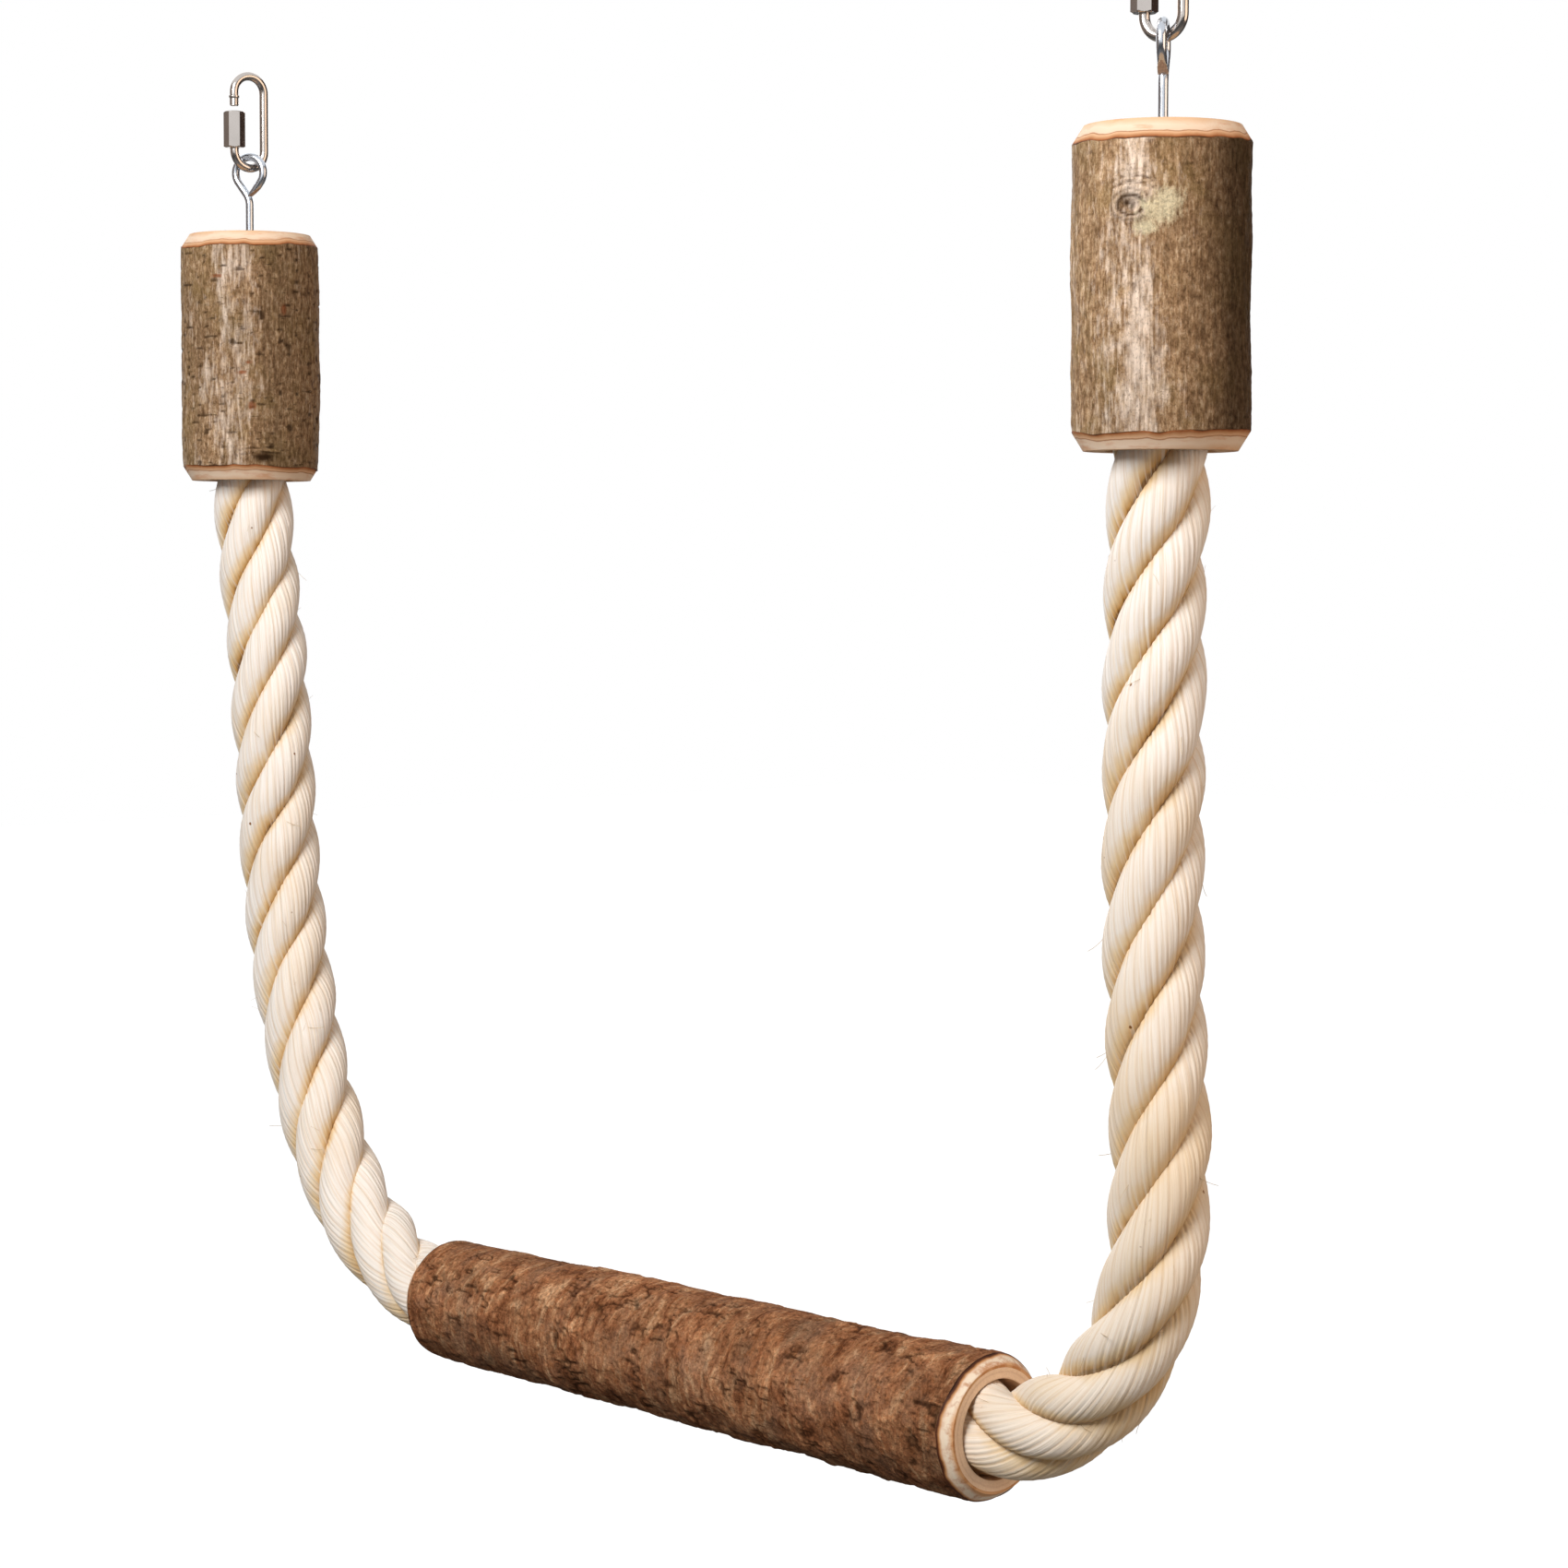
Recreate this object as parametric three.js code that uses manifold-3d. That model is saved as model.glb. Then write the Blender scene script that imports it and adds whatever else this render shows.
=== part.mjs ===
// Bird rope swing: a thick rope hangs as a U between two log caps and carries a log perch.
// Millimetres, +Z up, +X along the perch. The origin is midway between the crowns of the two chain links,
// at the height where a hook or cord bears on them.
import * as THREE from 'three';
import { mergeVertices } from 'three/addons/utils/BufferGeometryUtils.js';
import Module from 'manifold-3d';

// Rope
const ROPE_DIAMETER = 32;
const ROPE_SIDES = 12;
const HANG_SPACING = 492;
const JOIN_GAP = 0.3;

// Log caps at the two rope ends
const CAP_TOP_DIAMETER = 55;
const CAP_FOOT_DIAMETER = 54;
const CAP_LENGTH = 98;
const CAP_CHAMFER_LENGTH = 6;
const CAP_CHAMFER_DEPTH = 4;
const CAP_BORE_DEPTH = 55;

// Binding round each cut rope end
const BINDING_WALL = 0.4;
const BINDING_LENGTH = 18;
const BINDING_CLEARANCE = 0.3;

// Log perch on the rope
const PERCH_DROP = 472.5;
const PERCH_LENGTH = 296;
const PERCH_OFFSET = 31;
const PERCH_LEFT_DIAMETER = 44.4;
const PERCH_RIGHT_DIAMETER = 48.4;
const PERCH_CHAMFER_LENGTH = 5;
const PERCH_CHAMFER_DEPTH = 2.5;
const PERCH_BORE_CLEARANCE = 0.5;

// Screw-gate chain links
const LINK_WIRE = 3.5;
const LINK_LENGTH = 40;
const LINK_INSIDE_WIDTH = 10;
const LINK_TURN = { left: 86, right: 12 };
const GATE_OPENING = 2;
const GATE_THREAD_LENGTH = 3.5;
const COLLAR_DIAMETER = 4.3;
const COLLAR_LENGTH = 0.7;
const NUT_LENGTH = 14.5;
const NUT_ACROSS_FLATS = 7.4;
const NUT_CHAMFER = 0.6;
const NUT_SEAT = 0.8;
const NUT_CLEARANCE = 0.3;
const STUB_INSET = 0.6;

// Eye screws
const EYE_WIRE = 3.2;
const EYE_OUTSIDE_DIAMETER = 15.8;
const EYE_HEIGHT = 33;
const EYE_NECK_ANGLE = 37;
const EYE_TURN = { left: 26, right: -54 };
const EYE_LINK_CLEARANCE = 1.1;
const EYE_THREAD_DEPTH = 32;
const EYE_POINT_LENGTH = 5;
const EYE_HOLE_CLEARANCE = 0.3;
const EYE_END_GAP = 0.3;

// Retaining screws through the caps into the rope
const SCREW_DIAMETER = 3.5;
const SCREW_LENGTH = 28;
const SCREW_HEAD_DIAMETER = 7;
const SCREW_HEAD_LENGTH = 2;
const SCREW_POINT_LENGTH = 4;
const SCREW_RISE = 24;
const SCREW_SUNK = 0.6;
const SCREW_CLEARANCE = 0.3;

// Facets and cuts
const LOG_SEGMENTS = 40;
const BORE_SEGMENTS = 24;
const WIRE_SIDES = 10;
const WIRE_STEP = 2.4;
const ROPE_STEP = 16;
const SPAN_DIVISIONS = 60;
const CUT_OVERRUN = 1;

// Heights, worked out downward from the bearing line of the two links
const linkFoot = LINK_WIRE - LINK_LENGTH;
const eyeTop = linkFoot + LINK_WIRE + EYE_LINK_CLEARANCE + EYE_WIRE;
const capTop = eyeTop - EYE_HEIGHT;
const capFoot = capTop - CAP_LENGTH;
const boreRadius = ROPE_DIAMETER / 2 + BINDING_CLEARANCE + BINDING_WALL + BINDING_CLEARANCE;
const boreFloor = capFoot + CAP_BORE_DEPTH;
const hangX = HANG_SPACING / 2;
const perchLeft = PERCH_OFFSET - PERCH_LENGTH / 2;
const perchRight = PERCH_OFFSET + PERCH_LENGTH / 2;

// How the rope hangs from each cap's mouth to the perch's end, as shares of the way across and down
const LEFT_HANG = [
  [0.031, 0.097],
  [0.074, 0.199],
  [0.105, 0.301],
  [0.128, 0.404],
  [0.151, 0.5],
  [0.19, 0.596],
  [0.248, 0.685],
  [0.329, 0.781],
  [0.442, 0.867],
  [0.581, 0.93],
  [0.76, 0.974],
  [0.891, 0.995],
];
const RIGHT_HANG = [
  [0.022, 0.097],
  [0.03, 0.199],
  [0.03, 0.301],
  [0.03, 0.404],
  [0.015, 0.5],
  [-0.007, 0.596],
  [-0.03, 0.685],
  [-0.015, 0.768],
  [0.045, 0.837],
  [0.172, 0.895],
  [0.351, 0.939],
  [0.567, 0.973],
  [0.799, 0.994],
];

// Route points counted from a rope end: where it leaves the cap, and where it flexes above the bend
const MOUTH_INDEX = 2;
const FLEX_INDEX = 9;

const wasm = await Module();
wasm.setup();

const materials = {
  rope: new THREE.MeshStandardMaterial({ color: 0xe6cfa5, roughness: 0.9, metalness: 0 }),
  binding: new THREE.MeshStandardMaterial({ color: 0xb9a27c, roughness: 0.8, metalness: 0 }),
  capWood: new THREE.MeshStandardMaterial({ color: 0x8a7355, roughness: 0.85, metalness: 0 }),
  perchWood: new THREE.MeshStandardMaterial({ color: 0x7a4f36, roughness: 0.9, metalness: 0 }),
  link: new THREE.MeshStandardMaterial({ color: 0xb8b0aa, roughness: 0.25, metalness: 1 }),
  zinc: new THREE.MeshStandardMaterial({ color: 0xc3c8d0, roughness: 0.3, metalness: 1 }),
};

const swing = new THREE.Group();

function addPiece(name, geometry, material) {
  const mesh = new THREE.Mesh(geometry, material);
  mesh.name = name;
  swing.add(mesh);
  return mesh;
}

// Shared corners are merged, slivers on a lathe's axis dropped, and the faces turned outward.
function weld(geometry) {
  const bare = geometry.clone();
  bare.deleteAttribute('normal');
  bare.deleteAttribute('uv');
  const merged = mergeVertices(bare, 1e-4);
  const position = merged.getAttribute('position');
  const index = merged.getIndex().array;
  const faces = [];
  let volume = 0;
  const [a, b, c] = [new THREE.Vector3(), new THREE.Vector3(), new THREE.Vector3()];
  for (let i = 0; i < index.length; i += 3) {
    const [p, q, r] = [index[i], index[i + 1], index[i + 2]];
    if (p !== q && q !== r && r !== p) {
      faces.push([p, q, r]);
      a.fromBufferAttribute(position, p);
      b.fromBufferAttribute(position, q);
      c.fromBufferAttribute(position, r);
      volume += a.dot(b.cross(c));
    }
  }
  const outward = volume > 0 ? faces : faces.map(([p, q, r]) => [p, r, q]);
  merged.setIndex(outward.flat());
  merged.computeVertexNormals();
  return merged;
}

function toSolid(geometry) {
  const closed = weld(geometry);
  const mesh = new wasm.Mesh({
    numProp: 3,
    vertProperties: new Float32Array(closed.getAttribute('position').array),
    triVerts: new Uint32Array(closed.getIndex().array),
  });
  return new wasm.Manifold(mesh);
}

function toGeometry(solid) {
  const mesh = solid.getMesh();
  const geometry = new THREE.BufferGeometry();
  geometry.setAttribute('position', new THREE.BufferAttribute(new Float32Array(mesh.vertProperties), 3));
  geometry.setIndex(Array.from(mesh.triVerts));
  geometry.computeVertexNormals();
  return geometry;
}

function cut(geometry, ...tools) {
  const solid = tools.reduce((rest, tool) => rest.subtract(toSolid(tool)), toSolid(geometry));
  return toGeometry(solid);
}

function join(...geometries) {
  const [first, ...others] = geometries.map(toSolid);
  return toGeometry(others.reduce((whole, other) => whole.add(other), first));
}

// A profile of [radius, height] points turned about Z
function turned(profile, segments) {
  const points = profile.map(([radius, height]) => new THREE.Vector2(radius, height));
  const geometry = new THREE.LatheGeometry(points, segments);
  geometry.rotateX(Math.PI / 2);
  return weld(geometry);
}

function polygon(radius, sides) {
  const corners = Array.from({ length: sides }, (_, i) => {
    const angle = (2 * Math.PI * i) / sides;
    return new THREE.Vector2(radius * Math.cos(angle), radius * Math.sin(angle));
  });
  return new THREE.Shape(corners);
}

function tube(curve, diameter, sides, stepLength) {
  const steps = Math.max(1, Math.ceil(curve.getLength() / stepLength));
  const options = { steps, bevelEnabled: false, extrudePath: curve };
  return weld(new THREE.ExtrudeGeometry(polygon(diameter / 2, sides), options));
}

// An arc in the XZ plane, from one angle to another
class UprightArc extends THREE.Curve {
  constructor(centreX, centreZ, radius, fromDegrees, toDegrees) {
    super();
    Object.assign(this, { centreX, centreZ, radius, fromDegrees, toDegrees });
  }

  getPoint(t, target = new THREE.Vector3()) {
    const angle = THREE.MathUtils.degToRad(THREE.MathUtils.lerp(this.fromDegrees, this.toDegrees, t));
    const x = this.centreX + this.radius * Math.cos(angle);
    const z = this.centreZ + this.radius * Math.sin(angle);
    return target.set(x, 0, z);
  }
}

// A stretch of a longer curve, between two shares of its length
class Stretch extends THREE.Curve {
  constructor(whole, from, to) {
    super();
    Object.assign(this, { whole, from, to });
  }

  getPoint(t, target = new THREE.Vector3()) {
    return this.whole.getPointAt(THREE.MathUtils.lerp(this.from, this.to, t), target);
  }
}

function upright(x0, z0, x1, z1) {
  return new THREE.LineCurve3(new THREE.Vector3(x0, 0, z0), new THREE.Vector3(x1, 0, z1));
}

function path(...curves) {
  const whole = new THREE.CurvePath();
  curves.forEach((curve) => whole.add(curve));
  return whole;
}

// Chain link in the XZ plane: the nut's side at -X, the plain side at +X
const linkHalfWidth = (LINK_INSIDE_WIDTH + LINK_WIRE) / 2;
const lowerBendZ = linkFoot + LINK_WIRE / 2 + linkHalfWidth;
const upperBendZ = LINK_WIRE / 2 - linkHalfWidth;
const nutFoot = lowerBendZ + NUT_SEAT;
const nutTop = nutFoot + NUT_LENGTH;
const gateThreadFoot = nutTop + GATE_OPENING;
const collarFoot = gateThreadFoot + GATE_THREAD_LENGTH;

function linkGeometry() {
  const rodPath = path(
    upright(-linkHalfWidth, nutTop - STUB_INSET, -linkHalfWidth, lowerBendZ),
    new UprightArc(0, lowerBendZ, linkHalfWidth, 180, 360),
    upright(linkHalfWidth, lowerBendZ, linkHalfWidth, upperBendZ),
    new UprightArc(0, upperBendZ, linkHalfWidth, 0, 180),
    upright(-linkHalfWidth, upperBendZ, -linkHalfWidth, gateThreadFoot),
  );
  const rod = tube(rodPath, LINK_WIRE, WIRE_SIDES, WIRE_STEP);
  const collar = turned(
    [
      [0, collarFoot],
      [COLLAR_DIAMETER / 2, collarFoot],
      [COLLAR_DIAMETER / 2, collarFoot + COLLAR_LENGTH],
      [0, collarFoot + COLLAR_LENGTH],
    ],
    BORE_SEGMENTS,
  );
  collar.translate(-linkHalfWidth, 0, 0);
  return join(rod, collar);
}

// Hexagon sleeve nut with chamfered ends, round the nut's side of the link
function nutGeometry() {
  const cornerRadius = NUT_ACROSS_FLATS / Math.sqrt(3);
  const flatRadius = NUT_ACROSS_FLATS / 2;
  const options = { depth: NUT_LENGTH, bevelEnabled: false };
  const hexagon = new THREE.ExtrudeGeometry(polygon(cornerRadius, 6), options);
  hexagon.translate(0, 0, nutFoot);
  const envelope = turned(
    [
      [0, nutFoot],
      [flatRadius, nutFoot],
      [cornerRadius + NUT_CHAMFER, nutFoot + NUT_CHAMFER + cornerRadius - flatRadius],
      [cornerRadius + NUT_CHAMFER, nutTop - NUT_CHAMFER - cornerRadius + flatRadius],
      [flatRadius, nutTop],
      [0, nutTop],
    ],
    BORE_SEGMENTS,
  );
  const boreRound = LINK_WIRE / 2 + NUT_CLEARANCE;
  const bore = turned(
    [
      [0, nutFoot - CUT_OVERRUN],
      [boreRound, nutFoot - CUT_OVERRUN],
      [boreRound, nutTop + CUT_OVERRUN],
      [0, nutTop + CUT_OVERRUN],
    ],
    BORE_SEGMENTS,
  );
  const nut = toGeometry(toSolid(hexagon).intersect(toSolid(envelope)).subtract(toSolid(bore)));
  nut.translate(-linkHalfWidth, 0, 0);
  return nut;
}

// Eye screw in the XZ plane: the wire's cut end on the +X side of the neck
const eyeRadius = (EYE_OUTSIDE_DIAMETER - EYE_WIRE) / 2;
const eyeCentreZ = eyeTop - EYE_OUTSIDE_DIAMETER / 2;
const neckAngle = THREE.MathUtils.degToRad(EYE_NECK_ANGLE);
const neckZ = eyeCentreZ - eyeRadius / Math.sin(neckAngle);
const eyePointZ = capTop - EYE_THREAD_DEPTH;

function eyeGeometry() {
  const armEnd = (EYE_WIRE / 2) * (1 + Math.cos(neckAngle)) + EYE_END_GAP;
  const armRun = armEnd / Math.tan(neckAngle);
  const tangentX = eyeRadius * Math.cos(neckAngle);
  const tangentZ = eyeCentreZ - eyeRadius * Math.sin(neckAngle);
  const bendRun = EYE_WIRE / 2;
  const bendX = bendRun * Math.sin(neckAngle);
  const bendZ = neckZ + bendRun * Math.cos(neckAngle);
  const neckBend = new THREE.QuadraticBezierCurve3(
    new THREE.Vector3(0, 0, neckZ - bendRun),
    new THREE.Vector3(0, 0, neckZ),
    new THREE.Vector3(-bendX, 0, bendZ),
  );
  const wirePath = path(
    upright(0, eyePointZ + EYE_POINT_LENGTH, 0, neckZ - bendRun),
    neckBend,
    upright(-bendX, bendZ, -tangentX, tangentZ),
    new UprightArc(0, eyeCentreZ, eyeRadius, 180 + EYE_NECK_ANGLE, -EYE_NECK_ANGLE),
    upright(tangentX, tangentZ, armEnd, neckZ + armRun),
  );
  const wire = tube(wirePath, EYE_WIRE, WIRE_SIDES, WIRE_STEP);
  const pointRadius = (EYE_WIRE / 2) * Math.cos(Math.PI / WIRE_SIDES) - EYE_END_GAP / 2;
  const point = turned(
    [
      [0, eyePointZ],
      [pointRadius, eyePointZ + EYE_POINT_LENGTH],
      [pointRadius, eyePointZ + 2 * EYE_POINT_LENGTH],
      [0, eyePointZ + 2 * EYE_POINT_LENGTH],
    ],
    WIRE_SIDES,
  );
  return join(wire, point);
}

// Retaining screw along +Y, its head at the back of the cap. The allowance makes the hole that it sits in.
const screwZ = capFoot + SCREW_RISE;
const screwHeadY = CAP_FOOT_DIAMETER / 2 - SCREW_SUNK;

function screwGeometry(allowance) {
  const tipY = screwHeadY - SCREW_LENGTH;
  const openY = allowance > 0 ? CAP_TOP_DIAMETER / 2 + SCREW_HEAD_LENGTH : screwHeadY;
  const shank = SCREW_DIAMETER / 2 + allowance;
  const head = SCREW_HEAD_DIAMETER / 2 + allowance;
  const screw = turned(
    [
      [0, tipY - allowance],
      [shank, tipY + SCREW_POINT_LENGTH - allowance],
      [shank, screwHeadY - SCREW_HEAD_LENGTH - allowance],
      [head, screwHeadY - allowance],
      [head, openY],
      [0, openY],
    ],
    BORE_SEGMENTS,
  );
  screw.rotateX(-Math.PI / 2);
  screw.translate(0, 0, screwZ);
  return screw;
}

// Log cap: blind hole for the eye screw from above, blind bore for the rope from below
function capGeometry() {
  const topRadius = CAP_TOP_DIAMETER / 2;
  const footRadius = CAP_FOOT_DIAMETER / 2;
  const eyeHole = EYE_WIRE / 2 + EYE_HOLE_CLEARANCE;
  const log = turned(
    [
      [0, eyePointZ - EYE_HOLE_CLEARANCE],
      [eyeHole, eyePointZ - EYE_HOLE_CLEARANCE],
      [eyeHole, capTop],
      [topRadius - CAP_CHAMFER_DEPTH, capTop],
      [topRadius, capTop - CAP_CHAMFER_LENGTH],
      [footRadius, capFoot + CAP_CHAMFER_LENGTH],
      [footRadius - CAP_CHAMFER_DEPTH, capFoot],
      [boreRadius, capFoot],
      [boreRadius, boreFloor],
      [0, boreFloor],
    ],
    LOG_SEGMENTS,
  );
  return cut(log, screwGeometry(SCREW_CLEARANCE));
}

function bindingGeometry() {
  const innerRadius = ROPE_DIAMETER / 2 + BINDING_CLEARANCE;
  const outerRadius = innerRadius + BINDING_WALL;
  const top = boreFloor - JOIN_GAP;
  return turned(
    [
      [innerRadius, top - BINDING_LENGTH],
      [outerRadius, top - BINDING_LENGTH],
      [outerRadius, top],
      [innerRadius, top],
      [innerRadius, top - BINDING_LENGTH],
    ],
    LOG_SEGMENTS,
  );
}

// Log perch: a tapered log along X with a through bore and chamfered ends
function perchGeometry() {
  const leftRadius = PERCH_LEFT_DIAMETER / 2;
  const rightRadius = PERCH_RIGHT_DIAMETER / 2;
  const bore = ROPE_DIAMETER / 2 + PERCH_BORE_CLEARANCE;
  const log = turned(
    [
      [bore, perchLeft],
      [leftRadius - PERCH_CHAMFER_DEPTH, perchLeft],
      [leftRadius, perchLeft + PERCH_CHAMFER_LENGTH],
      [rightRadius, perchRight - PERCH_CHAMFER_LENGTH],
      [rightRadius - PERCH_CHAMFER_DEPTH, perchRight],
      [bore, perchRight],
      [bore, perchLeft],
    ],
    LOG_SEGMENTS,
  );
  log.rotateY(Math.PI / 2);
  log.translate(0, 0, -PERCH_DROP);
  return log;
}

// The rope's route as X and Z, from one cap's bore through the perch to the other's
function hangRoute(mouthX, perchEndX, shares) {
  const inBore = [boreFloor - JOIN_GAP, capFoot + CAP_BORE_DEPTH / 2, capFoot].map((z) => [mouthX, z]);
  const hanging = shares.map(([across, down]) => {
    const x = THREE.MathUtils.lerp(mouthX, perchEndX, across);
    const z = THREE.MathUtils.lerp(capFoot, -PERCH_DROP, down);
    return [x, z];
  });
  return [...inBore, ...hanging];
}

const leftRoute = hangRoute(-hangX, perchLeft, LEFT_HANG);
const rightRoute = hangRoute(hangX, perchRight, RIGHT_HANG).reverse();
const straightenIn = ROPE_DIAMETER / 2;
const perchStops = [perchLeft, perchLeft + straightenIn, PERCH_OFFSET, perchRight - straightenIn, perchRight];
const perchRoute = perchStops.map((x) => [x, -PERCH_DROP]);

// The rope is one curve, cut into stretches where it enters a log and where it flexes
const routePoints = [...leftRoute, ...perchRoute, ...rightRoute];
const rope = new THREE.CatmullRomCurve3(routePoints.map(([x, z]) => new THREE.Vector3(x, 0, z)));
rope.arcLengthDivisions = SPAN_DIVISIONS * (routePoints.length - 1);
const ropeLengths = rope.getLengths();
const ropeLength = rope.getLength();

function shareAt(pointNumber) {
  return ropeLengths[pointNumber * SPAN_DIVISIONS] / ropeLength;
}

function ropeStretch(fromPoint, toPoint) {
  const halfGap = JOIN_GAP / 2 / ropeLength;
  const stretch = new Stretch(rope, shareAt(fromPoint) + halfGap, shareAt(toPoint) - halfGap);
  return tube(stretch, ROPE_DIAMETER, ROPE_SIDES, ROPE_STEP);
}

const lastPoint = routePoints.length - 1;
const perchStart = leftRoute.length;
const perchEnd = lastPoint - rightRoute.length;
const ropeStations = {
  left: { end: 0, mouth: MOUTH_INDEX, flex: FLEX_INDEX, perch: perchStart },
  right: { end: lastPoint, mouth: lastPoint - MOUTH_INDEX, flex: lastPoint - FLEX_INDEX, perch: perchEnd },
};

function between(a, b) {
  return ropeStretch(Math.min(a, b), Math.max(a, b));
}

function placed(geometry, x, degrees = 0) {
  const turnedCopy = geometry.clone();
  turnedCopy.rotateZ(THREE.MathUtils.degToRad(degrees));
  turnedCopy.translate(x, 0, 0);
  return turnedCopy;
}

const link = linkGeometry();
const nut = nutGeometry();
const eye = eyeGeometry();
const cap = capGeometry();
const screw = screwGeometry(0);
const binding = bindingGeometry();

for (const [side, x] of [['left', -hangX], ['right', hangX]]) {
  const { end, mouth, flex, perch } = ropeStations[side];
  addPiece(`${side}_quick_link`, placed(link, x, LINK_TURN[side]), materials.link);
  addPiece(`${side}_link_nut`, placed(nut, x, LINK_TURN[side]), materials.link);
  addPiece(`${side}_eye_screw`, placed(eye, x, EYE_TURN[side]), materials.zinc);
  addPiece(`${side}_cap`, placed(cap, x), materials.capWood);
  addPiece(`${side}_cap_screw`, placed(screw, x), materials.zinc);
  addPiece(`${side}_rope_binding`, placed(binding, x), materials.binding);
  const screwHole = placed(screwGeometry(SCREW_CLEARANCE), x);
  addPiece(`${side}_rope_end`, cut(between(end, mouth), screwHole), materials.rope);
  addPiece(`${side}_rope_leg`, between(mouth, flex), materials.rope);
  addPiece(`${side}_rope_bend`, between(flex, perch), materials.rope);
}
addPiece('perch_rope', between(ropeStations.left.perch, ropeStations.right.perch), materials.rope);
addPiece('perch_log', perchGeometry(), materials.perchWood);

export default swing;
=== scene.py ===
"""Bird rope swing: a thick laid rope hangs as a U between two log caps and carries a log perch.

Lengths are in millimetres, in the frame of the CAD model, until a mesh is made.
"""
import math
from functools import partial
from typing import NamedTuple

import bmesh
import bpy
import numpy as np
from mathutils import Matrix, Vector


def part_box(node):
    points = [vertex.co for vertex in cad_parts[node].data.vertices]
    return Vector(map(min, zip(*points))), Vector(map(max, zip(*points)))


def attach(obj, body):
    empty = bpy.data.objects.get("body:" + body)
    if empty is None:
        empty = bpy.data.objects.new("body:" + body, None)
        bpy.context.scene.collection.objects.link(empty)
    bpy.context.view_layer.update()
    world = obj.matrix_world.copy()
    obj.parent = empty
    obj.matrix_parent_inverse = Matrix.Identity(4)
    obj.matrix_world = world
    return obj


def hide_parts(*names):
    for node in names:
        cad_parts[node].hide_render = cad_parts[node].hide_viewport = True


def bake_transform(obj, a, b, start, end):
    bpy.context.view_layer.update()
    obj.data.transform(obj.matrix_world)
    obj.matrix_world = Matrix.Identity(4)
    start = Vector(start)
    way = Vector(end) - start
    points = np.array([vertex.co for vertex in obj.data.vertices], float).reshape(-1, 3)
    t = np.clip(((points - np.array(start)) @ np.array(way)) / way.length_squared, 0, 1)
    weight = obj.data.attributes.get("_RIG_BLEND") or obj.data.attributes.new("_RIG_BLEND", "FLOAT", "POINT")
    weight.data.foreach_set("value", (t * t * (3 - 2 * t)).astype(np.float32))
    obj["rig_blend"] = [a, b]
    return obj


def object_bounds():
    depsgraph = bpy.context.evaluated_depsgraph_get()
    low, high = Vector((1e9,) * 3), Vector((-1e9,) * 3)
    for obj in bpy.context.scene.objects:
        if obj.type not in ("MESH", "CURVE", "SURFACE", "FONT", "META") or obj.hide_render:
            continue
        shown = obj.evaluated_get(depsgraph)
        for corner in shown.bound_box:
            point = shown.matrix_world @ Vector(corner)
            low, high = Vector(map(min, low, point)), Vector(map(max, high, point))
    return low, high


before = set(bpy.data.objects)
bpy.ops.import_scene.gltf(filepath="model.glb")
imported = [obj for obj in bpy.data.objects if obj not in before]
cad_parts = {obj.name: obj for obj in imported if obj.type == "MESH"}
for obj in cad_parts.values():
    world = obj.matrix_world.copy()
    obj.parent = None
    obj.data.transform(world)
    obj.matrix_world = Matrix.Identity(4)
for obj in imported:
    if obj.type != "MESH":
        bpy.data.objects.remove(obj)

bl_info = {
    "name": "Bird rope swing",
    "version": (1, 0, 0),
    "blender": (4, 5, 0),
    "location": "View3D > Sidebar > Rope Swing",
    "description": "Dresses the swing's frame with its rope, bark logs and steel fittings",
    "category": "Object",
}

MM = 0.001
X, Z = 0, 2
TURN = 2 * math.pi
CAD_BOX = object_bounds()


def span(node, axis):
    """How far a CAD node reaches along one axis, in millimetres."""
    low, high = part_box(node)
    return low[axis] / MM, high[axis] / MM


# Places and sizes that the CAD model gives
HANG_X = sum(span("right_cap", X)) / 2
PLACES = {"left": -HANG_X, "right": HANG_X}
CAP_FOOT, CAP_TOP = span("right_cap", Z)
CAP_LENGTH = CAP_TOP - CAP_FOOT
PERCH_LEFT, PERCH_RIGHT = span("perch_log", X)
PERCH_LENGTH = PERCH_RIGHT - PERCH_LEFT
PERCH_Z = sum(span("perch_log", Z)) / 2
NUT_FOOT, NUT_TOP = span("right_link_nut", Z)
EYE_POINT = span("right_eye_screw", Z)[0]

# True rounds of the links and eyes. The CAD model's rods have flats, so that their boxes fall a little short.
LINK_TOP, LINK_FOOT = 3.5, -36.5
LINK_HALF_WIDTH = 6.75
EYE_TOP = -28.7

# How each link and each eye is turned about the upright axis, in degrees
LINK_TURNS = {"left": 86, "right": 12}
EYE_TURNS = {"left": 26, "right": -54}

# The caps, and how high in them the screws sit that hold the rope
CAP_FOOT_RADIUS, CAP_TOP_RADIUS = 27.0, 27.5
CAP_BORE_DEPTH = 55
CAP_SCREW_RISE = 24

# The rope's route, as in the CAD model: shares of the way across and down from a cap's mouth to the perch
ROPE_END_GAP = 0.3
LEFT_HANG = (
    (0.031, 0.097), (0.074, 0.199), (0.105, 0.301), (0.128, 0.404), (0.151, 0.5), (0.19, 0.596),
    (0.248, 0.685), (0.329, 0.781), (0.442, 0.867), (0.581, 0.93), (0.76, 0.974), (0.891, 0.995),
)
RIGHT_HANG = (
    (0.022, 0.097), (0.03, 0.199), (0.03, 0.301), (0.03, 0.404), (0.015, 0.5), (-0.007, 0.596),
    (-0.03, 0.685), (-0.015, 0.768), (0.045, 0.837), (0.172, 0.895), (0.351, 0.939), (0.567, 0.973),
    (0.799, 0.994),
)

# The step of the rope's mesh, and how many steps its shading runs on past a seam
ROPE_STEP = 2.5
SEAM_STEPS = 2

# Points this close are one point, and this close along the rope they have the same length. Both in metres.
MERGE_GAP = 1e-7
SAME_LENGTH = 1e-6

# The two materials of a log. Wood off the chamfers counts as this far from the bark.
BARK, WOOD = 0, 1
FAR_FROM_BARK = 9.0


# Colours and nodes


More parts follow.
